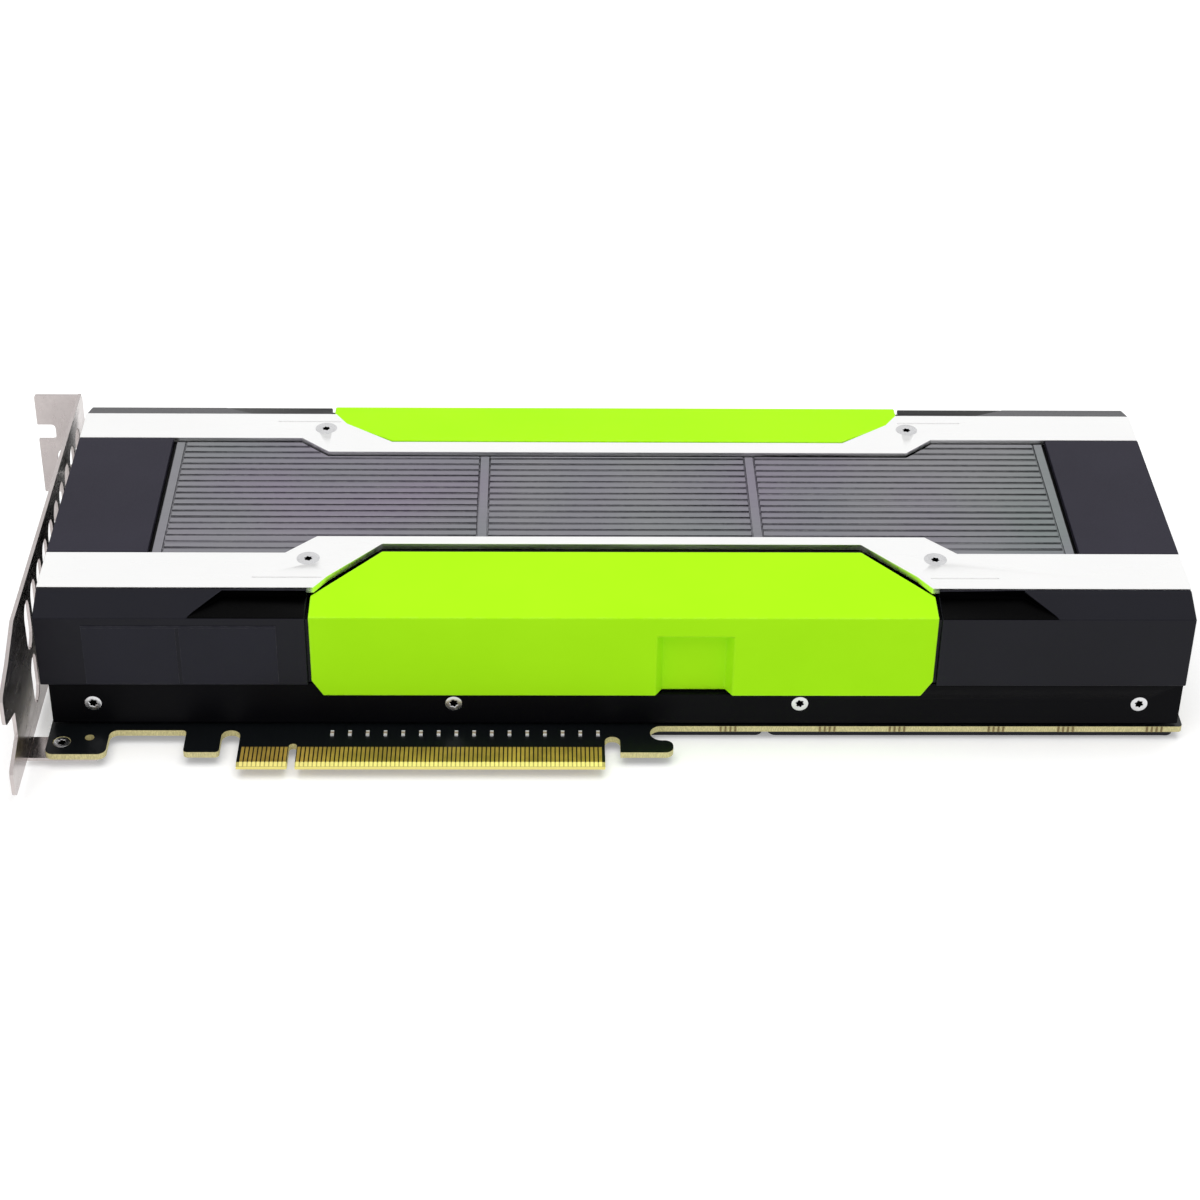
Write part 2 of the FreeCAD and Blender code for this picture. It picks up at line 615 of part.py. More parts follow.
# ---------------------------------------------------------------- cast base frame
def base_frame():
    """Tray with side walls, windows for the processor and the power parts, and bosses."""
    floor = box(FRAME_X0, FRAME_X1, FRAME_NEAR_Y, FRAME_FAR_Y, FRAME_FLOOR_Z, FLOOR_TOP_Z)
    walls = [box(FRAME_X0, FRAME_X1, y, y + FRAME_WALL, FRAME_BOARD_GAP, FRAME_TOP_Z)
             for y in (FRAME_NEAR_Y, INNER_FAR_Y)]
    bosses = [rod(V(x, y, 0), V(0, 0, 1), FLOOR_TOP_Z + BOSS_RISE, BOSS_RADIUS)
              for x, y in board_screw_places()]
    block_x = FRAME_X1 - REAR_HOLE_DEPTH - REAR_BLOCK / 2
    blocks = [box(block_x, FRAME_X1, y - REAR_BLOCK / 2, y + REAR_BLOCK / 2, FLOOR_TOP_Z, FRAME_TOP_Z)
              for y in rear_hole_places()]
    tray = floor.fuse(walls + bosses + blocks)

    window = centred(CHIP_X, CHIP_Y, WINDOW, WINDOW, FRAME_FLOOR_Z, FLOOR_TOP_Z)
    power = box(COIL_X - COIL_SIZE / 2 - WINDOW_GAP, CAN_X + CAN_RADIUS + WINDOW_GAP,
                POWER_Y0, POWER_Y1, FRAME_FLOOR_Z, FLOOR_TOP_Z)
    bay = SOCKET_WIDTH / 2 + SOCKET_SPACE / 2
    socket_bay = box(BOARD_LENGTH - SOCKET_DEPTH - SOCKET_SPACE, FRAME_X1, SOCKET_Y - bay,
                     SOCKET_Y + bay, FRAME_FLOOR_Z, FLOOR_TOP_Z)
    cuts = [window, power, socket_bay, grip_clearance()]
    cuts += [rod(V(x, y, 0), V(0, 0, 1), FLOOR_TOP_Z, SHANK_RADIUS + SHANK_CLEARANCE)
             for x, y in board_screw_places()]
    cuts += [rod(V(x, y, FRAME_FLOOR_Z), V(0, 0, 1), FRAME_FLOOR, SHANK_RADIUS + FREE_CLEARANCE)
             for x, y in cooler_screw_places()]
    cuts += [hole for x in SIDE_SCREW_X for hole in side_screw_holes(x)]
    cuts += [rod(V(FRAME_X1, y, REAR_HOLE_Z), V(-1, 0, 0), REAR_HOLE_DEPTH, REAR_HOLE_RADIUS)
             for y in rear_hole_places()]
    return tray.cut(cuts)


def rear_hole_places():
    """Threaded holes in the rear end, where a server's long-card support is screwed on."""
    return (REAR_BLOCK_NEAR_Y + REAR_BLOCK / 2, REAR_BLOCK_FAR_Y - REAR_BLOCK / 2)


# ---------------------------------------------------------------- screws
def screw(head_centre, direction, length, head_radius):
    """Countersunk screw: its flat head's centre is at the surface and it points inwards."""
    cone = Part.makeCone(head_radius, SHANK_RADIUS, HEAD_HEIGHT, head_centre, direction)
    shank = rod(head_centre, direction, length, SHANK_RADIUS)
    recess = hexagon(head_centre, direction)
    return cone.fuse(shank).cut(recess)


def hexagon(centre, direction):
    """Six-sided drive recess, cut in from the head's face."""
    around = V(1, 0, 0) if abs(direction.x) < 0.5 else V(0, 1, 0)
    spin = FreeCAD.Rotation(direction, 60)
    corners = [around * RECESS_RADIUS]
    for _ in range(5):
        corners.append(spin.multVec(corners[-1]))
    points = [centre + corner for corner in corners]
    return Part.Face(Part.makePolygon(points + points[:1])).extrude(direction * RECESS_DEPTH)


def countersink(head_centre, direction, length, head_radius):
    """The hole that such a screw sits in, with its clearance."""
    cone = Part.makeCone(head_radius + HEAD_CLEARANCE, SHANK_RADIUS + HEAD_CLEARANCE, HEAD_HEIGHT,
                         head_centre, direction)
    return cone.fuse(rod(head_centre, direction, length, SHANK_RADIUS + SHANK_CLEARANCE))


def side_screw(x, y, inwards):
    return screw(V(x, y, SIDE_SCREW_Z), V(0, inwards, 0), SIDE_SCREW_LENGTH, SMALL_HEAD_RADIUS)


def side_screw_holes(x):
    """Countersinks in the two side walls at one station."""
    return [countersink(V(x, y, SIDE_SCREW_Z), V(0, inwards, 0), SIDE_SCREW_LENGTH,
                        SMALL_HEAD_RADIUS)
            for y, inwards in ((FRAME_NEAR_Y, 1), (FRAME_FAR_Y, -1))]


def side_screws(y, inwards):
    return group([side_screw(x, y, inwards) for x in SIDE_SCREW_X])


def rail_screw_places():
    columns = (FRONT_SLANT_X - RAIL_SCREW_LEAD, REAR_SLANT_X + RAIL_SCREW_LEAD)
    rows = (NEAR_RAIL_OUTER + NEAR_SCREW_INSET, FAR_RAIL_OUTER - FAR_SCREW_INSET)
    return [(x, y) for x in columns for y in rows]


def rail_screw_cuts():
    return [countersink(V(x, y, TOP_Z), V(0, 0, -1), RAIL_SCREW_LENGTH,
                        RAIL_HEAD_RADIUS) for x, y in rail_screw_places()]


def upward_screws(places, z, length):
    return group([screw(V(x, y, z), V(0, 0, 1), length, SMALL_HEAD_RADIUS) for x, y in places])


# ---------------------------------------------------------------- housing
def cover_section(side):
    """(y, z) outline of a cover's outer surface; side is its top's depth and a mirror flag."""
    depth, mirror = side
    drop = (COVER_TOP_Z - COVER_EDGE_Z)
    y = WALL_NEAR_Y
    outer = [(y, COVER_BOTTOM_Z), (y, COVER_EDGE_Z), (y + depth, COVER_EDGE_Z + drop)]
    return mirrored(outer) if mirror else outer


def cover_inner(side):
    """The same outline, one cover thickness inside."""
    depth, mirror = side
    slope = (COVER_TOP_Z - COVER_EDGE_Z) / depth
    y = WALL_NEAR_Y + COVER_THICKNESS
    top = COVER_TOP_Z - COVER_THICKNESS
    edge = top - slope * (depth - COVER_THICKNESS)
    inner = [(y, COVER_BOTTOM_Z), (y, edge), (WALL_NEAR_Y + depth, top)]
    return mirrored(inner) if mirror else inner


NEAR_SIDE = (NEAR_COVER_DEPTH, False)
FAR_SIDE = (FAR_COVER_DEPTH, True)


def cover_seat(side):
    """Everything outside a cover's inner surface: what the housing gives up for the cover."""
    depth, mirror = side
    inner = cover_inner(side)
    reach = WALL_NEAR_Y + depth + COVER_GAP
    beyond = [(reach, inner[2][1]), (reach, TOP_Z + PAST), (WALL_NEAR_Y - PAST, TOP_Z + PAST),
              (WALL_NEAR_Y - PAST, COVER_BOTTOM_Z - PAST), (inner[0][0], COVER_BOTTOM_Z - PAST)]
    if mirror:
        beyond = mirrored(beyond)
        beyond[0] = (beyond[0][0], inner[2][1])
        beyond[-1] = (inner[0][0], COVER_BOTTOM_Z - PAST)
    return section([inner[1], inner[2]] + beyond, COVER_X0 - COVER_GAP, COVER_X1 + COVER_GAP)


def chamfer_pocket(side, x_cover, x_away):
    """Wedge cut out of the chamfer between a cover and the slanted end of the pocket."""
    top_y = WALL_NEAR_Y + CHAMFER_WIDTH - POCKET_LEDGE
    low = CHAMFER_TOP_Z - POCKET_DROP
    profile = [(WALL_NEAR_Y - PAST, WALL_TOP_Z), (WALL_NEAR_Y, WALL_TOP_Z), (top_y, low),
               (top_y, TOP_Z + PAST), (WALL_NEAR_Y - PAST, TOP_Z + PAST)]
    slant = POCKET_SLANT if x_away > x_cover else -POCKET_SLANT
    plan = [(x_cover, WALL_NEAR_Y - PAST), (x_away, WALL_NEAR_Y - PAST), (x_away - slant, top_y + PAST),
            (x_cover, top_y + PAST)]
    if side[1]:
        profile = mirrored(profile)
        plan = [(x, 2 * MID_Y - y) for x, y in plan]
    low_x, high_x = sorted((x_cover, x_away))
    return section(profile, low_x, high_x).common(plate(plan, WALL_TOP_Z - 2 * PAST, TOP_Z + PAST))


def grip_clearance():
    """Room behind the near cover's recess, through the housing's wall and the frame's."""
    half = GRIP_WIDTH / 2 + COVER_THICKNESS + GRIP_CLEAR
    deep = WALL_NEAR_Y + GRIP_DEPTH + COVER_THICKNESS + GRIP_CLEAR
    top = COVER_BOTTOM_Z + GRIP_HEIGHT + COVER_THICKNESS + GRIP_CLEAR
    return box(GRIP_X - half, GRIP_X + half, WALL_NEAR_Y - PAST, deep, COVER_BOTTOM_Z - GRIP_CLEAR,
               top)


def hollow():
    """The housing's inside: wide at both ends, narrower where the covers sit in its walls."""
    wall = WALL_NEAR_Y + SHROUD_WALL
    slope_z = WALL_TOP_Z - SHROUD_WALL / 2
    end_half = [(wall, SEAM_Z - PAST), (wall, slope_z), (wall + 3 * (DECK_LOW_Z - slope_z), DECK_LOW_Z)]
    ends = section(end_half + mirrored(end_half)[::-1], SHROUD_X0 - PAST, SHROUD_X1 + PAST)
    deep = FRAME_NEAR_Y + SHROUD_WALL
    seat_half = [(deep, SEAM_Z - PAST), (deep, CEILING_EDGE_Z),
                 (WALL_NEAR_Y + NEAR_COVER_DEPTH, DECK_LOW_Z)]
    seat_x0, seat_x1 = COVER_X0 - COVER_GAP - SHROUD_WALL, COVER_X1 + COVER_GAP + SHROUD_WALL
    middle = section(seat_half + mirrored(seat_half)[::-1], seat_x0, seat_x1)
    zones = [box(x0, x1, 0, BOARD_DEPTH, SEAM_Z - PAST, TOP_Z)
             for x0, x1 in ((SHROUD_X0 - PAST, seat_x0), (seat_x1, SHROUD_X1 + PAST))]
    return [ends.common(zones[0]), middle, ends.common(zones[1])]


def shroud():
    """Hollow housing: long walls, chamfers and the deck that carries rails and panels."""
    chamfer_y = WALL_NEAR_Y + CHAMFER_WIDTH
    half = [(WALL_NEAR_Y, SEAM_Z), (WALL_NEAR_Y, WALL_TOP_Z), (chamfer_y, CHAMFER_TOP_Z),
            (chamfer_y, DECK_Z)]
    body = section(half + mirrored(half)[::-1], SHROUD_X0, SHROUD_X1).cut(hollow())
    cuts = [cover_seat(NEAR_SIDE), cover_seat(FAR_SIDE), grip_clearance()] + rail_screw_cuts()
    for side in (NEAR_SIDE, FAR_SIDE):
        cuts.append(chamfer_pocket(side, COVER_X0, COVER_X0 - POCKET_RUN))
        cuts.append(chamfer_pocket(side, COVER_X1, COVER_X1 + POCKET_RUN))
    lugs = [lug for x in SIDE_SCREW_X for lug in shroud_lugs(x)]
    holes = [hole for x in SIDE_SCREW_X for hole in side_screw_holes(x)]
    return body.cut(cuts).fuse(lugs).cut(holes).removeSplitter()


def shroud_lugs(x):
    """Threaded tongues inside the frame's walls, one pair at each side screw."""
    low, seam = FLOOR_TOP_Z + LUG_CLEAR, SEAM_Z + LUG_THICKNESS / 2
    root = FRAME_NEAR_Y + LUG_CLEAR
    outline = [(INNER_NEAR_Y, low), (INNER_NEAR_Y, seam), (root, seam + FRAME_WALL),
               (root, seam + 2 * FRAME_WALL), (INNER_NEAR_Y + LUG_THICKNESS, seam + FRAME_WALL),
               (INNER_NEAR_Y + LUG_THICKNESS, low)]
    return [section(points, x - LUG_WIDTH / 2, x + LUG_WIDTH / 2)
            for points in (outline, mirrored(outline))]


# ---------------------------------------------------------------- covers
def cover_plan(side):
    """Octagonal (x, y) outline of a cover seen from above."""
    depth, mirror = side
    y0 = WALL_NEAR_Y - 0.5
    y1 = WALL_NEAR_Y + COVER_SIDE_RUN
    y2 = WALL_NEAR_Y + depth
    plan = [(COVER_X0, y0), (COVER_X1, y0), (COVER_X1, y1), (COVER_X1 - COVER_SLANT, y2),
            (COVER_X0 + COVER_SLANT, y2), (COVER_X0, y1)]
    return [(x, 2 * MID_Y - y) for x, y in plan] if mirror else plan


def cover_front(y0, y1):
    """(x, z) outline of a cover seen from the side, with clipped lower corners."""
    corner = COVER_CORNER
    outline = [(COVER_X0 + corner, COVER_BOTTOM_Z), (COVER_X1 - corner, COVER_BOTTOM_Z),
               (COVER_X1, COVER_BOTTOM_Z + 1.6 * corner), (COVER_X1, TOP_Z + PAST),
               (COVER_X0, TOP_Z + PAST), (COVER_X0, COVER_BOTTOM_Z + 1.6 * corner)]
    return elevation(outline, y0, y1)


def cover(side):
    """Folded shell of even thickness: side wall and sloping top."""
    shell = section(cover_section(side) + cover_inner(side)[::-1], COVER_X0, COVER_X1)
    shell = shell.common(plate(cover_plan(side), COVER_BOTTOM_Z - PAST, TOP_Z + PAST))
    return shell.common(cover_front(WALL_NEAR_Y - PAST, WALL_FAR_Y + PAST))


def grip_block(grow, deep):
    """The recess's tapered volume, grown by a wall thickness for its outer skin."""
    half = GRIP_WIDTH / 2 + grow
    top = COVER_BOTTOM_Z + GRIP_HEIGHT + grow
    low = COVER_BOTTOM_Z
    y = WALL_NEAR_Y
    mouth = [V(GRIP_X - half, y, low), V(GRIP_X + half, y, low), V(GRIP_X + half, y, top),
             V(GRIP_X - half, y, top)]
    draft = GRIP_DRAFT
    floor = [V(GRIP_X - half + draft, y + deep, low), V(GRIP_X + half - draft, y + deep, low),
             V(GRIP_X + half - draft, y + deep, top - draft),
             V(GRIP_X - half + draft, y + deep, top - draft)]
    wires = [Part.makePolygon(corners + corners[:1]) for corners in (mouth, floor)]
    return Part.makeLoft(wires, True, True)


def near_cover():
    """The near cover has a shallow grip recess that is open at the bottom."""
    outer = grip_block(COVER_THICKNESS, GRIP_DEPTH + COVER_THICKNESS)
    return cover(NEAR_SIDE).fuse(outer).cut(grip_block(0, GRIP_DEPTH)).removeSplitter()


# ---------------------------------------------------------------- rails and panels
def rail(outer, waist_outer, inner, waist_inner):
    """Strip that widens at both ends, with a small notch where each outer slant begins."""
    out = 1 if outer > inner else -1
    notch_y = outer - out * RAIL_NOTCH_DEPTH
    narrow, rear_narrow = FRONT_SLANT_X + RAIL_SLANT, REAR_SLANT_X - RAIL_SLANT
    outline = [
        (SHROUD_X0, outer), (FRONT_SLANT_X, outer),
        (FRONT_SLANT_X + RAIL_NOTCH, notch_y),
        (FRONT_SLANT_X + 2 * RAIL_NOTCH, notch_y - out * RAIL_NOTCH_DEPTH),
        (narrow, waist_outer), (rear_narrow, waist_outer),
        (REAR_SLANT_X - 2 * RAIL_NOTCH, notch_y - out * RAIL_NOTCH_DEPTH),
        (REAR_SLANT_X - RAIL_NOTCH, notch_y), (REAR_SLANT_X, outer),
        (SHROUD_X1, outer), (SHROUD_X1, inner), (REAR_INNER_X, inner),
        (REAR_INNER_X - RAIL_INNER_SLANT, waist_inner),
        (FRONT_INNER_X + RAIL_INNER_SLANT, waist_inner), (FRONT_INNER_X, inner), (SHROUD_X0, inner)]
    score_y = outer - out * RAIL_SCORE_Y
    scores = [box(x0, x0 + RAIL_SCORE_LENGTH, score_y - RAIL_SCORE, score_y + RAIL_SCORE,
                  TOP_Z - RAIL_SCORE, TOP_Z)
              for x0 in (FRONT_SLANT_X - RAIL_SCORE_LENGTH + RAIL_NOTCH, REAR_SLANT_X)]
    return plate(outline, DECK_Z, TOP_Z).cut(rail_screw_cuts() + scores)


def panel_outline(x0, x1, gap):
    """Centre panel's outline between the two rails."""
    near, near_waist = NEAR_RAIL_INNER + gap, NEAR_WAIST_INNER + gap
    far, far_waist = FAR_RAIL_INNER - gap, FAR_WAIST_INNER - gap
    slant, end = FRONT_INNER_X, FRONT_INNER_X + RAIL_INNER_SLANT
    back, back_end = REAR_INNER_X, REAR_INNER_X - RAIL_INNER_SLANT
    return [(x0, near), (slant, near), (end, near_waist), (back_end, near_waist), (back, near),
            (x1, near), (x1, far), (back, far), (back_end, far_waist), (end, far_waist),
            (slant, far), (x0, far)]


def rib_panel():
    """Thin plate with ribs along X between smooth cross bands."""
    rib_low, rib_top = DECK_Z + RIB_BASE, DECK_Z + RIB_BASE + RIB_HEIGHT
    base = plate(panel_outline(PANEL_X0, PANEL_X1, PANEL_GAP), DECK_Z, rib_low)
    half = BAND_WIDTH / 2
    bands = [(PANEL_X0, PANEL_X0 + PANEL_BORDER)]
    bands += [(x - half, x + half) for x in BAND_X]
    bands += [(PANEL_X1 - PANEL_BORDER, PANEL_X1)]
    raised = [box(x0, x1, NEAR_RAIL_INNER, FAR_RAIL_INNER, rib_low, rib_top) for x0, x1 in bands]
    span = FAR_RAIL_INNER - NEAR_RAIL_INNER
    count = int(span / RIB_PITCH)
    first = NEAR_RAIL_INNER + (span - (count - 1) * RIB_PITCH) / 2
    for before, after in zip(bands, bands[1:]):
        for i in range(count):
            y = first + i * RIB_PITCH
            raised.append(box(before[1] + RIB_END_GAP, after[0] - RIB_END_GAP, y - RIB_WIDTH / 2,
                              y + RIB_WIDTH / 2, rib_low, rib_top))
    limit = plate(panel_outline(PANEL_X0, PANEL_X1, 2 * PANEL_GAP), rib_low, rib_top)
    return base.fuse([piece.common(limit) for piece in raised]).removeSplitter()


def end_panel(x0, x1):
    side = PANEL_GAP / 2
    return box(x0, x1, NEAR_RAIL_INNER + side, FAR_RAIL_INNER - side, DECK_Z, TOP_Z)


# ---------------------------------------------------------------- cooler
def comb(y0, y1, x0, x1, z0, z_base, z_top, pitch, thickness):
    """Base with upright fins along X, evenly spread between two sides."""
    count = int((y1 - y0 - thickness) / pitch)
    step = (y1 - y0 - thickness) / count
    profile = [(y0, z0), (y1, z0)]
    for i in range(count, -1, -1):
        y = y0 + i * step
        profile += [(y + thickness, z_top), (y, z_top)]
        if i:
            profile += [(y, z_base), (y - step + thickness, z_base)]
    return section(profile, x0, x1)


def vapour_chamber():
    """Flat chamber on the frame's floor with a pedestal that reaches the die."""
    corner = CHAMBER_CORNER
    slab = plate([(CHAMBER_X0, CHAMBER_Y0, corner), (CHAMBER_X1, CHAMBER_Y0, corner),
                  (CHAMBER_X1, CHAMBER_Y1, corner), (CHAMBER_X0, CHAMBER_Y1, corner)],
                 FLOOR_TOP_Z, CHAMBER_TOP_Z)
    pedestal = centred(CHIP_X, CHIP_Y, PEDESTAL, PEDESTAL, SUBSTRATE_HEIGHT + DIE_HEIGHT, FLOOR_TOP_Z)
    holes = [rod(V(x, y, FLOOR_TOP_Z), V(0, 0, 1), CHAMBER_THREAD, SHANK_RADIUS + SHANK_CLEARANCE)
             for x, y in cooler_screw_places()]
    return slab.fuse(pedestal).cut(holes)


def fin_stack():
    return comb(CHAMBER_Y0, CHAMBER_Y1, CHAMBER_X0 + FIN_INSET, CHAMBER_X1 - FIN_INSET, CHAMBER_TOP_Z,
                CHAMBER_TOP_Z + FIN_BASE, FIN_TOP_Z, FIN_PITCH, FIN_THICKNESS)


def stage_heatsink():
    rows = power_rows()
    low = STAGE_HEIGHT + PAD_THICKNESS
    return comb(rows[0] - COIL_SIZE / 2, rows[-1] + COIL_SIZE / 2, STAGE_X - SINK_LENGTH / 2,
                STAGE_X + SINK_LENGTH / 2, low, low + SINK_BASE, low + SINK_HEIGHT, SINK_FIN_PITCH,
                SINK_FIN_THICKNESS)


# ---------------------------------------------------------------- bracket
def bracket_profile():
    """(y, z) outline of the flat plate with its two tapered tongues."""
    bend_y = TAB_FACE_Y - BRACKET_SHEET
    outline = [(bend_y, BRACKET_LOW_Z), (bend_y, BRACKET_HIGH_Z), (PLATE_CORNER_Y, BRACKET_HIGH_Z)]
    root, end = TONGUE_ROOT_WIDTH / 2, TONGUE_END_WIDTH / 2
    for centre in (UPPER_SLOT_Z, UPPER_SLOT_Z - SLOT_PITCH):
        outline += [(TONGUE_ROOT_Y, centre + root, TONGUE_ROOT_ROUND),
                    (TONGUE_END_Y, centre + end, TONGUE_TIP_ROUND),
                    (TONGUE_END_Y, centre - end, TONGUE_TIP_ROUND)]
        if centre == UPPER_SLOT_Z:
            outline.append((TONGUE_ROOT_Y, centre - root, TONGUE_ROOT_ROUND))
    return outline


def vent_cuts():
    """Rows of tall vents with rounded ends."""
    cuts = []
    radius = VENT_WIDTH / 2 - TANGENT_GAP
    for row in range(VENT_ROWS):
        rise = (row - (VENT_ROWS - 1) / 2) * (VENT_HEIGHT + VENT_BRIDGE)
        z0, z1 = VENT_MID_Z + rise - VENT_HEIGHT / 2, VENT_MID_Z + rise + VENT_HEIGHT / 2
        for column in range(VENT_COLUMNS):
            y0 = VENT_FIRST_Y + column * VENT_PITCH
            y1 = y0 + VENT_WIDTH
            cuts.append(section([(y0, z0, radius), (y1, z0, radius), (y1, z1, radius),
                                 (y0, z1, radius)], BRACKET_OUTER_X, BRACKET_INNER_X))
    return cuts


def screw_tab():
    """Tab bent outwards, with an open screw slot for each card slot and a relief at the bend."""
    tab_y = TAB_FACE_Y - BRACKET_SHEET
    half = SCREW_SLOT_WIDTH / 2
    bottom = TAB_END_X + SCREW_SLOT_DEPTH
    outline = [(BRACKET_INNER_X, BRACKET_LOW_Z, TAB_ROOT_ROUND),
               (BRACKET_INNER_X, TAB_TOP_Z, TAB_BEND_ROUND), (TAB_END_X, TAB_TOP_Z, TAB_END_ROUND)]
    for z in (UPPER_SLOT_Z, UPPER_SLOT_Z - SLOT_PITCH):
        outline += [(TAB_END_X, z + half), (bottom, z + half, half / 2), (bottom, z - half, half / 2),
                    (TAB_END_X, z - half)]
    outline.append((TAB_END_X, BRACKET_LOW_Z, TAB_END_ROUND))
    relief_x = BRACKET_OUTER_X - TAB_RELIEF_REACH
    relief_z = UPPER_SLOT_Z - SLOT_PITCH / 2 + TAB_RELIEF_RISE
    relief = rod(V(relief_x, tab_y, relief_z), V(0, 1, 0), BRACKET_SHEET, TAB_RELIEF_RADIUS)
    neck = box(relief_x, BRACKET_INNER_X, tab_y, TAB_FACE_Y, relief_z - TAB_RELIEF_RADIUS,
               relief_z + TAB_RELIEF_RADIUS)
    return elevation(outline, tab_y, TAB_FACE_Y).cut([relief, neck])


def bracket_feet():
    """Two feet bent inwards under the board, each with a threaded hole."""
    low = BOARD_BOTTOM_Z - BRACKET_SHEET
    feet = [box(BRACKET_OUTER_X, FOOT_LENGTH, y - FOOT_WIDTH / 2, y + FOOT_WIDTH / 2, low,
                BOARD_BOTTOM_Z) for y in FOOT_PLACES]
    holes = [rod(V(FOOT_HOLE_X, y, low), V(0, 0, 1), BRACKET_SHEET, SHANK_RADIUS + SHANK_CLEARANCE)
             for y in FOOT_PLACES]
    return [foot.cut(holes) for foot in feet]


def io_bracket():
    """Folded steel: vented plate with tongues, screw tab and feet."""
    face = section(bracket_profile(), BRACKET_OUTER_X, BRACKET_INNER_X).cut(vent_cuts())
    return face.fuse([screw_tab()] + bracket_feet()).removeSplitter()


# ---------------------------------------------------------------- back of the board
def backplate(x0, x1):
    """Thin plate on raised washers, with a window for the processor's brace."""
    front, back = BOARD_FRONT + BACKPLATE_FRONT_INSET, BOARD_DEPTH - BACKPLATE_INSET
    corner = BACKPLATE_CORNER
    sheet = plate([(x0, front, corner), (x1, front, corner), (x1, back, corner), (x0, back, corner)],
                  BACK_BOTTOM_Z, BACK_TOP_Z)
    window = centred(CHIP_X, CHIP_Y, BRACE_WINDOW, BRACE_WINDOW, BACK_BOTTOM_Z, BACK_TOP_Z)
    places = [(x, y) for x, y in board_screw_places() if x0 < x < x1]
    washers = [rod(V(x, y, BACK_TOP_Z), V(0, 0, 1), BACK_GAP, BOSS_RADIUS) for x, y in places]
    holes = [countersink(V(x, y, BACK_BOTTOM_Z), V(0, 0, 1), BACKPLATE + BACK_GAP, SMALL_HEAD_RADIUS)
             for x, y in places]
    return sheet.cut(window).fuse(washers).cut(holes)


def processor_brace():
    """Cross-shaped spring brace that pulls the cooler down on the processor."""
    reach = COOLER_SCREW_PITCH / 2
    low = BOARD_BOTTOM_Z - BRACE_THICKNESS
    arms = []
    for turn in (45, -45):
        arm = centred(0, 0, 2 * (math.hypot(reach, reach) + BRACE_TIP), BRACE_ARM, low, BOARD_BOTTOM_Z)
        arm.rotate(V(0, 0, 0), V(0, 0, 1), turn)
        arm.translate(V(CHIP_X, CHIP_Y, 0))
        arms.append(arm)
    ring = centred(CHIP_X, CHIP_Y, BRACE_HUB, BRACE_HUB, low, BOARD_BOTTOM_Z)
    holes = [countersink(V(x, y, low), V(0, 0, 1), BRACE_THICKNESS, SMALL_HEAD_RADIUS)
             for x, y in cooler_screw_places()]
    return arms[0].fuse([arms[1], ring]).cut(holes).removeSplitter()


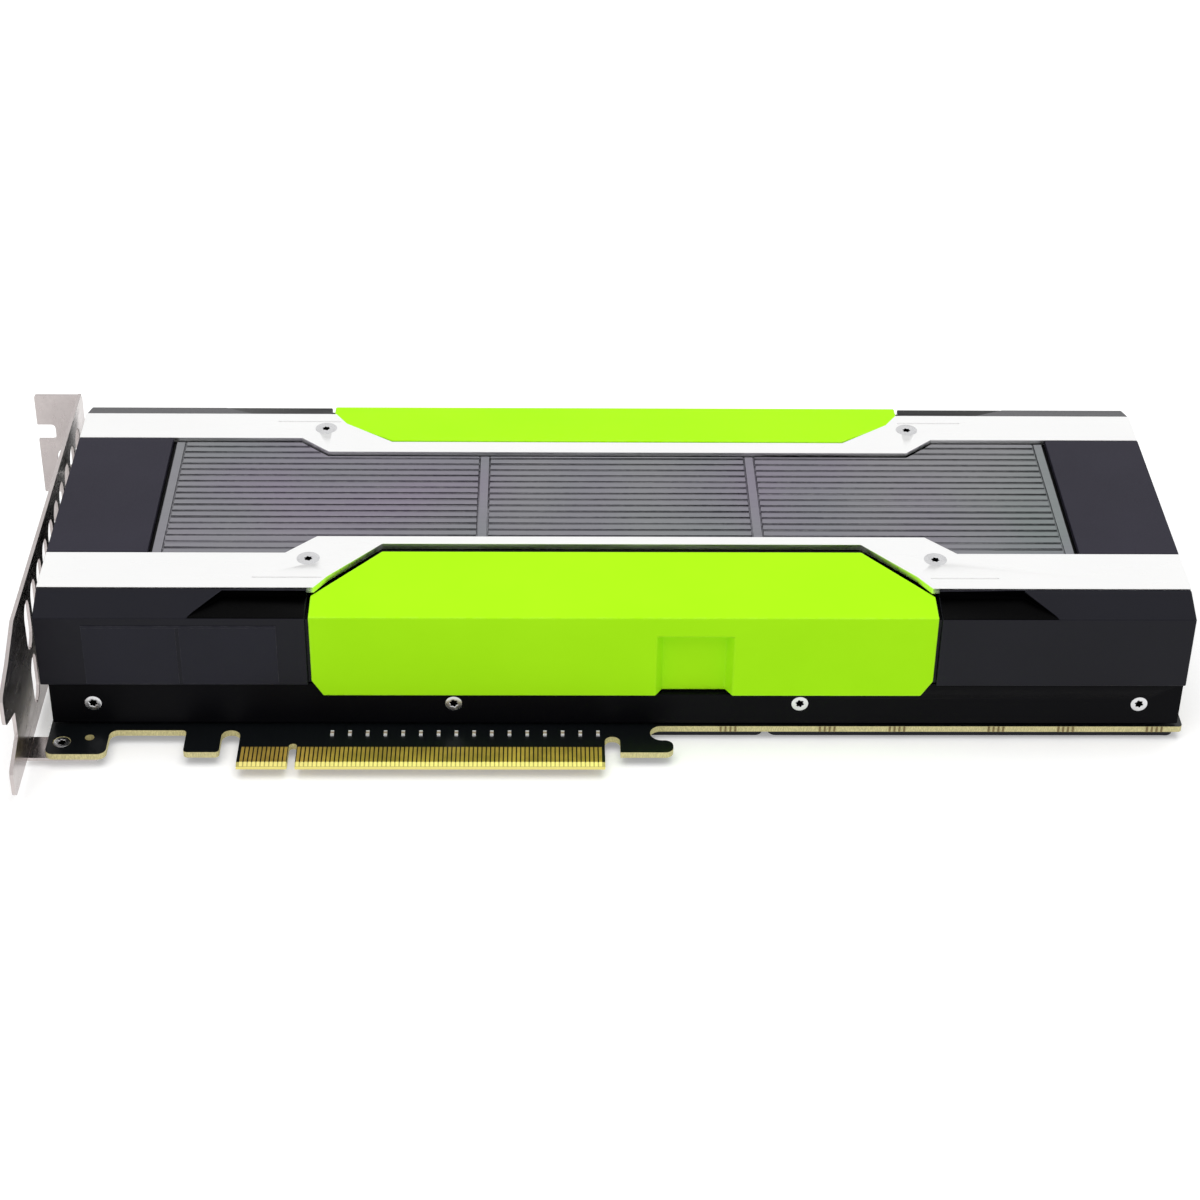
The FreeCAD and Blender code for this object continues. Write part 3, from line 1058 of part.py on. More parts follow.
# ---------------------------------------------------------------- the whole card
def main():
    os.makedirs("parts", exist_ok=True)
    rows = power_rows()
    pieces = {
        "circuit_board": circuit_board(),
        "edge_contacts": edge_contacts(),
        "coupling_capacitors": coupling_capacitors(),
        "processor_substrate": centred(CHIP_X, CHIP_Y, SUBSTRATE, SUBSTRATE, 0, SUBSTRATE_HEIGHT),
        "processor_die": centred(CHIP_X, CHIP_Y, DIE_LENGTH, DIE_WIDTH, SUBSTRATE_HEIGHT,
                                 SUBSTRATE_HEIGHT + DIE_HEIGHT),
        "memory_chips": memory_blocks(0, MEMORY_HEIGHT),
        "memory_pads": memory_blocks(MEMORY_HEIGHT, FRAME_FLOOR_Z),
        "power_inductors": group([centred(COIL_X, y, COIL_SIZE, COIL_SIZE, 0, COIL_HEIGHT)
                                  for y in rows]),
        "power_stages": group([centred(STAGE_X, y, STAGE_LENGTH, STAGE_WIDTH, 0, STAGE_HEIGHT)
                               for y in rows]),
        "stage_pads": group([centred(STAGE_X, y, STAGE_LENGTH, STAGE_WIDTH, STAGE_HEIGHT,
                                     STAGE_HEIGHT + PAD_THICKNESS) for y in rows]),
        "stage_heatsink": stage_heatsink(),
        "bulk_capacitors": bulk_capacitors(),
        "controller_chips": controller_chips(),
        "power_socket": power_socket(),
        "power_pins": power_pins(),
        "base_frame": base_frame(),
        "vapour_chamber": vapour_chamber(),
        "fin_stack": fin_stack(),
        "shroud": shroud(),
        "near_rail": rail(NEAR_RAIL_OUTER, NEAR_WAIST_OUTER, NEAR_RAIL_INNER, NEAR_WAIST_INNER),
        "far_rail": rail(FAR_RAIL_OUTER, FAR_WAIST_OUTER, FAR_RAIL_INNER, FAR_WAIST_INNER),
        "rib_panel": rib_panel(),
        "bracket_end_panel": end_panel(SHROUD_X0, PANEL_X0 - END_PANEL_GAP),
        "rear_end_panel": end_panel(PANEL_X1 + END_PANEL_GAP, SHROUD_X1),
        "near_cover": near_cover(),
        "far_cover": cover(FAR_SIDE),
        "rail_screws": group([screw(V(x, y, TOP_Z), V(0, 0, -1), RAIL_SCREW_LENGTH, RAIL_HEAD_RADIUS)
                              for x, y in rail_screw_places()]),
        "near_side_screws": side_screws(FRAME_NEAR_Y, 1),
        "far_side_screws": side_screws(FRAME_FAR_Y, -1),
        "io_bracket": io_bracket(),
        "bracket_screws": group([screw(V(FOOT_HOLE_X, y, 0), V(0, 0, -1),
                                       BOARD_THICKNESS + BRACKET_SHEET, SMALL_HEAD_RADIUS)
                                 for y in FOOT_PLACES]),
        "front_backplate": backplate(BACKPLATE_INSET, BACKPLATE_SPLIT_X - BACKPLATE_SPLIT_GAP / 2),
        "rear_backplate": backplate(BACKPLATE_SPLIT_X + BACKPLATE_SPLIT_GAP / 2,
                                    BOARD_LENGTH - BACKPLATE_INSET),
        "backplate_screws": upward_screws(board_screw_places(), BACK_BOTTOM_Z, FLOOR_TOP_Z - BACK_BOTTOM_Z),
        "processor_brace": processor_brace(),
        "cooler_screws": upward_screws(cooler_screw_places(), BOARD_BOTTOM_Z - BRACE_THICKNESS,
                                       FLOOR_TOP_Z + CHAMBER_THREAD / 2 - BOARD_BOTTOM_Z),
    }
    for name, shape in pieces.items():
        save(name, shape)


main()
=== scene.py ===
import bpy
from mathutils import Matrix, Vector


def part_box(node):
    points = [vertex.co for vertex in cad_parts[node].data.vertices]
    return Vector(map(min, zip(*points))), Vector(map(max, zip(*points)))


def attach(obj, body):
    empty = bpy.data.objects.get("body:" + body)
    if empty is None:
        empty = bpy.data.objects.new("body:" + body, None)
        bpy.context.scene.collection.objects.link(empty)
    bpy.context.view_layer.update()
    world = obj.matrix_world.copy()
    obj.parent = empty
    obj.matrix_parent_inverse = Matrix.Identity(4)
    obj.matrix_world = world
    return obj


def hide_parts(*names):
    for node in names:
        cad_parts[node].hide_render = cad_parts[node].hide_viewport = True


bl_info = {
    "name": "Passive accelerator card finishes",
    "version": (1, 0, 0),
    "blender": (4, 5, 0),
    "location": "View3D > Sidebar > Card",
    "description": "Surface finishes, rounded edges, screws and studio for a passive accelerator card",
    "category": "Object",
}

import math

import bmesh
import bpy
from bpy.props import FloatProperty, FloatVectorProperty, PointerProperty
from mathutils import Euler, Vector

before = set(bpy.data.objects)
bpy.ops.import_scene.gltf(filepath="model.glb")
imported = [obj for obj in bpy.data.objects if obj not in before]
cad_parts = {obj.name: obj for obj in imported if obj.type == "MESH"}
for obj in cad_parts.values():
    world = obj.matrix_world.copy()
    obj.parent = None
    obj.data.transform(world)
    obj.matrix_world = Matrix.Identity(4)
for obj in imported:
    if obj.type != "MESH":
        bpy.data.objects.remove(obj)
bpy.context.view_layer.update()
MM = 0.001

# Mesh clean-up and rounding
MERGE_DISTANCE = 2e-6           # metres; closer vertices become one
FLAT_ANGLE = 0.6                # degrees; faces that bend less are joined up
BEND_ANGLE = 24.0               # degrees; edges that bend more are rounded
TURNED_ANGLE = 32.0             # degrees; turned pieces look smooth below this bend
EDGE_ROOM = 2.5                 # shortest edge that is rounded, in radii
SIDE_ROOM = 1.8                 # shortest edge next to it, in radii

# Recesses: painted shade, near black and without a sheen, on faces marked as a recess
RECESS_SHADE_MARK = "recess"               # name of the mark on faces
PAINTED_RECESS_SHADE = (0.0008, 0.0008, 0.0009)
LEVEL, UPRIGHT = 0.99, 0.2      # normal's Z above and below which a face is level or upright
POCKET_DROP = 0.3 * MM          # a pocket's floor lies at least this far below the top
POCKET_REACH = 3.4 * MM         # its walls' middles lie no deeper than this

# Edge wear and painted highlight: a lighter colour along sharp edges
FLAT_MATCH, SHARP_MATCH = 0.995, 0.86   # match of true and rounded normal, without and with wear and highlight
WEAR_AND_HIGHLIGHT_BREAKUP = (0.38, 0.62)     # noise values between which the wear and highlight set in

RIB_ROUNDING, PANEL_ROUNDING = 1.6, 2   # of the panels, in sheet edge radii

# Screws
LOBES = 6
LOBE_SHARE = 0.52               # most of a head's radius that its recess takes
LOBE_WAVE = 0.13                # depth of the lobes, in shares of the recess's radius
MOUTH_SHARE, MOUTH_WAVE = 1.16, 0.10    # the recess's mouth is wider, with softer lobes
MOUTH_DEPTH = 0.12 * MM
FOOT_SHARE = 0.94               # the recess's bottom is narrower
HEAD_RIM = ((1.0, 1.6), (0.985, 0.5), (0.93, 0.0))      # shares of the radius and of the dish
RING_STEPS = 72
SHANK_RADIUS = 1.2 * MM
HEAD_DEPTH = 1.3 * MM           # cone of a countersunk head, at most
HEAD_SHARE = 0.6                # of a short screw's length
SCREW_SETS = {
    "rail_screws": Vector((0, 0, 1)),
    "near_side_screws": Vector((0, -1, 0)),
    "far_side_screws": Vector((0, 1, 0)),
    "bracket_screws": Vector((0, 0, 1)),
    "backplate_screws": Vector((0, 0, -1)),
    "cooler_screws": Vector((0, 0, -1)),
}

# Circuit board
FACE_FADE = (0.93, 0.97)        # steepness between cut edge and lacquered face
UNDER_SHADE_FADE = (-0.3, -0.2)       # normal's Z between the bevel's underside and the rest
CAP_END_FADE = (0.50, 0.56)     # tinned ends of the small capacitors, in shares of their half
TIP_UNDER_SHADE = (0.10, 0.060, 0.008)        # painted shade, brown, on the underside of the bevel
TIP_INSET, TIP_DEPTH, TIP_RISE = 0.12 * MM, 0.02 * MM, 0.03 * MM
NOSE_BAND = 0.01 * MM           # vertices this close to the front make up the bevel's nose
BEVEL_END, BEVEL_FADE = 1.5 * MM, 1.6 * MM      # from the front edge
BOARD_CORNER = 1.0 * MM         # rounding of the board's rear corners
STUB_PLACES = (0.596, 0.684, 0.746, 0.834, 0.896, 0.975)        # shares of the board's length
STUB_COUNT = 4
STUB_PITCH = 1.15 * MM
STUB_HALF_WIDTH = 0.22 * MM
STUB_ROOT = 0.1 * MM            # how far a stub runs into the board
STUB_LOW, STUB_HIGH = 0.12 * MM, 0.08 * MM      # kept free at the board's faces

# Bare films, from the housing's lowest corner
FILM_RUNS = ((10.8 * MM, 32.3 * MM), (33.1 * MM, 55.3 * MM))
FILM_LOW, FILM_HIGH, FILM_LIP = 8.7 * MM, 24.4 * MM, 0.6 * MM

# Studio
OVERHEAD_SIZE, OVERHEAD_PLACE = 1.6, (0.0, -0.2, 1.5)
SIDE_SIZE, SIDE_PLACE, SIDE_TARGET = 0.9, (-0.9, -1.1, 0.7), (0, 0, 0.02)
FLOOR_GLOW = 0.28
SENSOR_WIDTH = 36.0             # millimetres

MIX_FACTOR, MIX_FIRST, MIX_SECOND, MIX_RESULT = 0, 6, 7, 2      # a Mix node's colour sockets


# ---------------------------------------------------------------- sizes and colours
def colour(name, description, value):
    return FloatVectorProperty(name=name, description=description, subtype="COLOR", size=3, min=0,
                               max=1, default=value)


def length(name, description, value):
    return FloatProperty(name=name, description=description, subtype="DISTANCE", unit="LENGTH",
                         min=0, default=value, precision=5)


class CardFinish(bpy.types.PropertyGroup):
    """Colours of the card's finishes."""

    paint: colour("Cover paint", "Yellow-green paint of both covers", (0.425, 0.92, 0.010))
    paint_deep: colour("Cover paint, deep", "Cover paint where it lies thicker", (0.40, 0.89, 0.008))
    rail: colour("Rail metal", "Blasted and brushed rails", (0.97, 0.97, 0.965))
    housing: colour("Housing black", "Finish of the duct housing", (0.0075, 0.0075, 0.0125))
    frame_black: colour("Frame black", "Finish of the base frame", (0.0025, 0.0025, 0.0035))
    end_panel: colour("End panel", "Dark grey panels at both ends", (0.024, 0.022, 0.034))
    rib_grey: colour("Ribbed panel", "Anodised grey of the ribbed panel", (0.235, 0.235, 0.245))
    bracket: colour("Bracket nickel", "Nickel plating of the bracket", (0.56, 0.51, 0.50))
    steel: colour("Screw steel", "Plated steel of the screws", (0.70, 0.70, 0.71))
    solder_mask: colour("Solder mask", "Black lacquer of the circuit board", (0.0025, 0.003, 0.0035))
    laminate: colour("Laminate", "Bare glass fibre at the board's cut edges", (0.80, 0.72, 0.36))
    gold: colour("Gold", "Plated contacts", (0.62, 0.42, 0.08))
    # painted highlight: a lighter copy of the gold for the bevelled tips
    gold_highlight: colour("Gold, bevel", "Contacts' bevelled tips", (0.98, 0.86, 0.26))
    fins: colour("Fin aluminium", "Plain aluminium of the fins", (0.72, 0.73, 0.75))


class CardSizes(bpy.types.PropertyGroup):
    """Small sizes that the finishing pieces use."""

    sheet_radius: length("Sheet edge radius", "Rounding of folded and cut sheet edges", 0.12 * MM)
    cover_radius: length("Cover edge radius", "Rounding of the covers' edges", 0.35 * MM)
    rail_radius: length("Rail edge radius", "Rounding of the rails' edges", 0.18 * MM)
    housing_radius: length("Housing edge radius", "Rounding of the housing's edges", 0.30 * MM)
    head_dish: length("Screw head dish", "How far a screw head's rim is rounded down", 0.12 * MM)
    lobe_radius: length("Recess radius", "Outer radius of a screw's six-lobe recess", 1.0 * MM)
    lobe_depth: length("Recess depth", "Depth of a screw's six-lobe recess", 0.9 * MM)
    stub_reach: length("Stub reach", "How far snapped-off stubs stand out of the board's edge", 0.25 * MM)
    label_thickness: length("Film thickness", "Thickness of the bare films on the housing", 0.06 * MM)


class CardStage(bpy.types.PropertyGroup):
    """Studio around the card."""

    sky: FloatProperty(name="Sky", description="Strength of the even light from all round",
                       default=0.54, min=0)
    overhead: FloatProperty(name="Overhead lamp", description="Power of the large lamp above",
                            subtype="POWER", unit="POWER", default=18.0, min=0)
    side: FloatProperty(name="Side lamp", description="Power of the lamp at the front left",
                        subtype="POWER", unit="POWER", default=1.0, min=0)
    floor_size: length("Floor size", "Side of the square floor", 6.0)
    lens: FloatProperty(name="Lens", description="Focal length of the camera in millimetres",
                        default=78.378, min=1)
    camera_place: FloatVectorProperty(name="Camera place", description="Where the camera stands",
                                      subtype="TRANSLATION", unit="LENGTH", size=3,
                                      default=(-0.009445, -0.528295, 0.373440))
    camera_turn: FloatVectorProperty(name="Camera turn", description="How the camera is turned",
                                     subtype="EULER", unit="ROTATION", size=3,
                                     default=(math.radians(55.934), math.radians(-0.756),
                                              math.radians(-0.928)))


# ---------------------------------------------------------------- shader helpers
def place(tree, kind, **settings):
    """A new shader node with its settings; names that are sockets set the socket's value."""
    node = tree.nodes.new(kind)
    for key, value in settings.items():
        if hasattr(node, key):
            setattr(node, key, value)
        else:
            node.inputs[key.replace("_", " ")].default_value = value
    return node


def join(tree, source, target):
    tree.links.new(source, target)


def shader_group(name, inputs, outputs):
    """A node group with its sockets, or None when it is already there."""
    if name in bpy.data.node_groups:
        return None
    tree = bpy.data.node_groups.new(name, "ShaderNodeTree")
    for title, kind, value in inputs:
        socket = tree.interface.new_socket(title, in_out="INPUT", socket_type="NodeSocket" + kind)
        socket.default_value = value
    for title, kind in outputs:
        tree.interface.new_socket(title, in_out="OUTPUT", socket_type="NodeSocket" + kind)
    return tree


def grain_group():
    """Noise over the piece's own coordinates, stretched to make grain, brushing or mottling."""
    tree = shader_group("surface_grain", [("Scale", "Float", 1000.0), ("Detail", "Float", 3.0),
                                          ("Stretch", "Vector", (1.0, 1.0, 1.0))],
                        [("Value", "Float")])
    if tree:
        source, sink = place(tree, "NodeGroupInput"), place(tree, "NodeGroupOutput")
        where = place(tree, "ShaderNodeTexCoord")
        stretch = place(tree, "ShaderNodeVectorMath", operation="MULTIPLY")
        noise = place(tree, "ShaderNodeTexNoise", Roughness=0.6)
        join(tree, where.outputs["Object"], stretch.inputs[0])
        join(tree, source.outputs["Stretch"], stretch.inputs[1])
        join(tree, stretch.outputs[0], noise.inputs["Vector"])
        join(tree, source.outputs["Scale"], noise.inputs["Scale"])
        join(tree, source.outputs["Detail"], noise.inputs["Detail"])
        join(tree, noise.outputs["Fac"], sink.inputs["Value"])
    return bpy.data.node_groups["surface_grain"]


def wear_and_highlight_group():
    """Mask for edge wear and painted highlight, strong along sharp edges and broken up by noise."""
    tree = shader_group("edge_wear_and_highlight", [("Radius", "Float", 0.0004), ("Amount", "Float", 1.0),
                                      ("Breakup", "Float", 600.0)], [("Mask", "Float")])
    if tree:
        source, sink = place(tree, "NodeGroupInput"), place(tree, "NodeGroupOutput")
        rounding = place(tree, "ShaderNodeBevel", samples=4)
        face = place(tree, "ShaderNodeNewGeometry")
        match = place(tree, "ShaderNodeVectorMath", operation="DOT_PRODUCT")
        where = place(tree, "ShaderNodeTexCoord")
        noise = place(tree, "ShaderNodeTexNoise", Detail=4.0, Roughness=0.65)
        join(tree, source.outputs["Radius"], rounding.inputs["Radius"])
        join(tree, rounding.outputs["Normal"], match.inputs[0])
        join(tree, face.outputs["Normal"], match.inputs[1])
        join(tree, where.outputs["Object"], noise.inputs["Vector"])
        join(tree, source.outputs["Breakup"], noise.inputs["Scale"])
        turn = spread(tree, match.outputs["Value"], 0, 1, FLAT_MATCH, SHARP_MATCH)
        broken = spread(tree, noise.outputs["Fac"], 0, 1, *WEAR_AND_HIGHLIGHT_BREAKUP)
        both = combine(tree, "MULTIPLY", turn, broken)
        mask = combine(tree, "MULTIPLY", both, source.outputs["Amount"], use_clamp=True)
        join(tree, mask, sink.inputs["Mask"])
    return bpy.data.node_groups["edge_wear_and_highlight"]


def use_group(tree, group, **values):
    """The group in a tree, with its inputs set by their names in small letters."""
    node = place(tree, "ShaderNodeGroup", node_tree=group)
    for key, value in values.items():
        node.inputs[key.capitalize()].default_value = value
    return node


def spread(tree, source, low, high, from_low=0.3, from_high=0.7):
    """A value, of about 0.3 to 0.7 as noise gives it, spread over another range."""
    node = place(tree, "ShaderNodeMapRange", clamp=True)
    node.inputs["From Min"].default_value = from_low
    node.inputs["From Max"].default_value = from_high
    node.inputs["To Min"].default_value = low
    node.inputs["To Max"].default_value = high
    join(tree, source, node.inputs["Value"])
    return node.outputs["Result"]


def combine(tree, operation, first, *others, **settings):
    """Result of a Math node; the first value is a socket, the others are sockets or numbers."""
    node = place(tree, "ShaderNodeMath", operation=operation, **settings)
    join(tree, first, node.inputs[0])
    for value, socket in zip(others, node.inputs[1:]):
        if isinstance(value, bpy.types.NodeSocket):
            join(tree, value, socket)
        else:
            socket.default_value = value
    return node.outputs[0]


def blend_colours(tree, factor, first, second):
    """Mix of two colours; each is a colour or a socket."""
    node = place(tree, "ShaderNodeMix", data_type="RGBA")
    join(tree, factor, node.inputs[MIX_FACTOR])
    for value, socket in ((first, node.inputs[MIX_FIRST]), (second, node.inputs[MIX_SECOND])):
        if isinstance(value, bpy.types.NodeSocket):
            join(tree, value, socket)
        else:
            socket.default_value = (*value, 1.0)
    return node.outputs[MIX_RESULT]


def emboss(tree, skin, height, depth):
    """Fine relief on a shader's normal."""
    relief = place(tree, "ShaderNodeBump", Strength=1.0, Distance=depth)
    join(tree, height, relief.inputs["Height"])
    join(tree, relief.outputs[0], skin.inputs["Normal"])


def shader(name):
    """A new material with its tree and Principled shader."""
    material = bpy.data.materials.new(name)
    material.use_nodes = True
    tree = material.node_tree
    return material, tree, tree.nodes["Principled BSDF"]


def surface(name, base, shade, grain=2500.0, stretch=(1, 1, 1), mottle=45.0, rough=(0.35, 0.5),
            bump=0.00002, metallic=0.0, specular=0.5, wear_and_highlight=None, wear_and_highlight_radius=0.0004,
            wear_and_highlight_amount=0.5, shade_recesses=False):
    """A finish with mottled colour, fine grain in roughness and bump, and a lighter colour along the
    edges that is partly edge wear, partly painted highlight.
    """
    title = name + "_finish"
    if title in bpy.data.materials:
        return bpy.data.materials[title]
    material, tree, skin = shader(title)
    patches = use_group(tree, grain_group(), scale=mottle, detail=4.0)
    fine = use_group(tree, grain_group(), scale=grain, detail=3.0, stretch=stretch)
    tint = blend_colours(tree, spread(tree, patches.outputs[0], 0, 1), base, shade)
    # lighter colour along sharp edges: partly edge wear, partly painted highlight
    if wear_and_highlight:
        edges = use_group(tree, wear_and_highlight_group(), radius=wear_and_highlight_radius, amount=wear_and_highlight_amount)
        tint = blend_colours(tree, edges.outputs[0], tint, wear_and_highlight)
    skin.inputs["Metallic"].default_value = metallic
    # painted shade: faces marked as a recess turn near black, without a sheen
    if shade_recesses:
        tint = paint_recess_shade(tree, skin, tint, metallic)
    join(tree, tint, skin.inputs["Base Color"])
    join(tree, spread(tree, fine.outputs[0], *rough), skin.inputs["Roughness"])
    emboss(tree, skin, fine.outputs[0], bump)
    skin.inputs["Specular IOR Level"].default_value = specular
    return material


def paint_recess_shade(tree, skin, tint, metallic):
    """Painted shade: near black, without a sheen, on the faces that the mesh marks as a recess."""
    mark = place(tree, "ShaderNodeAttribute", attribute_name=RECESS_SHADE_MARK)
    if not metallic:
        join(tree, mark.outputs["Fac"], skin.inputs["Metallic"])
    return blend_colours(tree, mark.outputs["Fac"], tint, PAINTED_RECESS_SHADE)


def toned(value, share):
    """A colour made darker, or lighter where the share is above 1."""
    return tuple(part * share for part in value)


# ---------------------------------------------------------------- mesh helpers
def dress(target, material):
    """Gives an object one material in place of what it had."""
    target.data.materials.clear()
    target.data.materials.append(material)


def piece(name, mesh, material, slot, *nodes):
    """Links a finished mesh, lets it ride on the card and hides the solids it stands for."""
    made = bpy.data.objects.new(name, mesh)
    bpy.context.scene.collection.objects.link(made)
    dress(made, material)
    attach(made, "root")
    if nodes:
        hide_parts(*nodes)
    return made


def can_round(edge, radius, bend):
    """True where an edge bends enough and has room for the radius on both of its sides."""
    if len(edge.link_faces) != 2 or edge.calc_face_angle(0) < bend:
        return False
    if edge.calc_length() < EDGE_ROOM * radius:
        return False
    return all(other.calc_length() > SIDE_ROOM * radius
               for vert in edge.verts for other in vert.link_edges)


def rounded(node, radius, material, slot, segments=2, sunk=None):
    """The node's own form with its flat faces joined up and its longer edges rounded.

    Faces for which the test sunk holds are marked as a recess, which the material paints in shade."""
    form = bmesh.new()
    form.from_mesh(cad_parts[node].data)
    bmesh.ops.remove_doubles(form, verts=form.verts, dist=MERGE_DISTANCE)
    bmesh.ops.dissolve_limit(form, angle_limit=math.radians(FLAT_ANGLE), verts=form.verts,
                             edges=form.edges)
    weights = form.edges.layers.float.new("bevel_weight_edge")
    for edge in form.edges:
        edge[weights] = 1.0 if can_round(edge, radius, math.radians(BEND_ANGLE)) else 0.0
    if sunk:
        marks = form.faces.layers.float.new(RECESS_SHADE_MARK)
        for face in form.faces:
            face[marks] = 1.0 if sunk(face) else 0.0
    mesh = bpy.data.meshes.new(node + "_form")
    form.to_mesh(mesh)
    form.free()
    made = piece(node + "_finished", mesh, material, slot, node)
    bevel = made.modifiers.new("edge_radius", "BEVEL")
    bevel.width = radius
    bevel.segments = segments
    bevel.limit_method = "WEIGHT"
    bevel.use_clamp_overlap = False
    bevel.harden_normals = True
    soften_by_angle(made, BEND_ANGLE)
    return made


def islands(node):
    """Boxes (lowest and highest corner) of a node's separate solids."""
    form = bmesh.new()
    form.from_mesh(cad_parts[node].data)
    bmesh.ops.remove_doubles(form, verts=form.verts, dist=MERGE_DISTANCE)
    seen, found = set(), []
    for start in form.verts:
        if start in seen:
            continue
        seen.add(start)
        stack, members = [start], []
        while stack:
            vert = stack.pop()
            members.append(vert.co.copy())
            for edge in vert.link_edges:
                other = edge.other_vert(vert)
                if other not in seen:
                    seen.add(other)
                    stack.append(other)
        low = Vector([min(co[i] for co in members) for i in range(3)])
        high = Vector([max(co[i] for co in members) for i in range(3)])
        found.append((low, high))
    form.free()
    return found


def ring(form, centre, along, across, out, radius, depth, wave=0.0):
    """A closed ring of vertices round an axis; a wave above 0 gives it six lobes."""
    verts = []
    for i in range(RING_STEPS):
        turn = 2 * math.pi * i / RING_STEPS
        reach = radius * (1 - wave + wave * math.cos(LOBES * turn))
        at = centre + along * (reach * math.cos(turn)) + across * (reach * math.sin(turn))
        verts.append(form.verts.new(at - out * depth))
    return verts


def skin_between(form, first, second):
    """Faces from one closed ring to the next."""
    count = len(first)
    return [form.faces.new((first[i], first[(i + 1) % count], second[(i + 1) % count], second[i]))
            for i in range(count)]


def screw_form(form, centre, out, head, head_depth, whole, sizes):
    """A countersunk screw with a rounded rim and a six-lobe recess, from its head's face."""
    along = out.orthogonal().normalized()
    across = out.cross(along)
    lobe = min(sizes.lobe_radius, head * LOBE_SHARE)
    levels = [(SHANK_RADIUS, whole, 0.0), (SHANK_RADIUS, head_depth, 0.0)]
    levels += [(head * share, sizes.head_dish * drop, 0.0) for share, drop in HEAD_RIM]
    levels += [(lobe * MOUTH_SHARE, 0.0, MOUTH_WAVE), (lobe, MOUTH_DEPTH, LOBE_WAVE),
               (lobe * FOOT_SHARE, sizes.lobe_depth, LOBE_WAVE)]
    rings = [ring(form, centre, along, across, out, *level) for level in levels]
    for first, second in zip(rings[:-1], rings[1:-1]):
        skin_between(form, first, second)
    walls = skin_between(form, *rings[-2:])
    bottom = form.faces.new(rings[-1])
    form.faces.new(rings[0][::-1])
    # the recess's walls and bottom are marked for painted shade
    marks = form.faces.layers.float[RECESS_SHADE_MARK]
    for face in (*walls, bottom):
        face[marks] = 1.0


def finish_form(form, name):
    """A mesh from the form, with its faces turned outwards."""
    bmesh.ops.recalc_face_normals(form, faces=form.faces)
    mesh = bpy.data.meshes.new(name)
    form.to_mesh(mesh)
    form.free()
    return mesh


def soften_by_angle(made, degrees=TURNED_ANGLE):
    """Smooth shading that breaks at edges which bend more than this."""
    made.data.shade_smooth()
    made.data.set_sharp_from_angle(angle=math.radians(degrees))


def slab(form, low, high):
    """A box between two corners."""
    corners = [form.verts.new((x, y, z)) for z in (low[2], high[2]) for y in (low[1], high[1])
               for x in (low[0], high[0])]
    for face in ((0, 2, 3, 1), (4, 5, 7, 6), (0, 1, 5, 4), (2, 6, 7, 3), (0, 4, 6, 2), (1, 3, 7, 5)):
        form.faces.new([corners[i] for i in face])


# ---------------------------------------------------------------- materials of the card
def finishes():
    return bpy.context.scene.card_finish


def paint():
    f = finishes()
    return surface("cover_paint", tuple(f.paint), tuple(f.paint_deep), grain=3800.0, mottle=30.0,
                   rough=(0.42, 0.56), bump=0.000012, specular=0.03, wear_and_highlight=(0.68, 1.0, 0.17),
                   wear_and_highlight_radius=0.00045, wear_and_highlight_amount=0.9)


def rail_metal():
    f = finishes()
    return surface("rail_metal", tuple(f.rail), toned(f.rail, 0.975), grain=1400.0,
                   stretch=(0.05, 1.0, 1.0), mottle=26.0, rough=(0.26, 0.42), bump=0.000010,
                   metallic=1.0, wear_and_highlight=(1.0, 1.0, 1.0), wear_and_highlight_radius=0.0003, wear_and_highlight_amount=0.5)


def housing_black():
    f = finishes()
    return surface("housing_black", tuple(f.housing), toned(f.housing, 0.7), grain=5200.0,
                   mottle=22.0, rough=(0.30, 0.46), bump=0.000006, specular=0.15,
                   wear_and_highlight=(0.035, 0.035, 0.045), wear_and_highlight_radius=0.00030, wear_and_highlight_amount=0.7, shade_recesses=True)


def frame_black():
    f = finishes()
    return surface("frame_black", tuple(f.frame_black), toned(f.frame_black, 0.7), grain=3000.0,
                   mottle=35.0, rough=(0.34, 0.55), bump=0.000008, specular=0.05,
                   wear_and_highlight=(0.022, 0.022, 0.028), wear_and_highlight_radius=0.00025, wear_and_highlight_amount=0.6)


def end_panel_dark():
    f = finishes()
    return surface("end_panel_dark", tuple(f.end_panel), toned(f.end_panel, 0.82), grain=4200.0,
                   mottle=30.0, rough=(0.38, 0.55), bump=0.000008, specular=0.10,
                   wear_and_highlight=(0.06, 0.06, 0.075), wear_and_highlight_radius=0.0003, wear_and_highlight_amount=0.5)


def rib_metal():
    """Grey anodised metal with a faint violet and green cast in broad patches, and lighter streaks of
    painted sheen.
    """
    name = "rib_metal"
    if name in bpy.data.materials:
        return bpy.data.materials[name]
    f = finishes()
    material, tree, skin = shader(name)
    brushed = use_group(tree, grain_group(), scale=1500.0, detail=3.0, stretch=(0.04, 1.0, 1.0))
    patches = use_group(tree, grain_group(), scale=16.0, detail=2.0)
    painted_sheen = use_group(tree, grain_group(), scale=24.0, detail=1.0, stretch=(1.0, 0.4, 1.0))
    grey = tuple(f.rib_grey)
    violet = (grey[0] * 1.06, grey[1] * 0.94, grey[2] * 1.14)
    green = (grey[0] * 0.90, grey[1] * 1.02, grey[2] * 0.97)
    cast = blend_colours(tree, spread(tree, patches.outputs[0], 0, 1, 0.35, 0.65), violet, green)
    # painted sheen: lighter streaks over the grey
    tint = blend_colours(tree, spread(tree, painted_sheen.outputs[0], 0, 0.8, 0.4, 0.65), cast,
                         toned(grey, 1.12))
    # lighter edges: partly edge wear, partly painted highlight
    edges = use_group(tree, wear_and_highlight_group(), radius=0.00025, amount=0.6)
    tint = blend_colours(tree, edges.outputs[0], tint, (0.52, 0.52, 0.54))
    join(tree, tint, skin.inputs["Base Color"])
    join(tree, spread(tree, brushed.outputs[0], 0.30, 0.46), skin.inputs["Roughness"])
    emboss(tree, skin, brushed.outputs[0], 0.000012)
    skin.inputs["Metallic"].default_value = 0.9
    return material


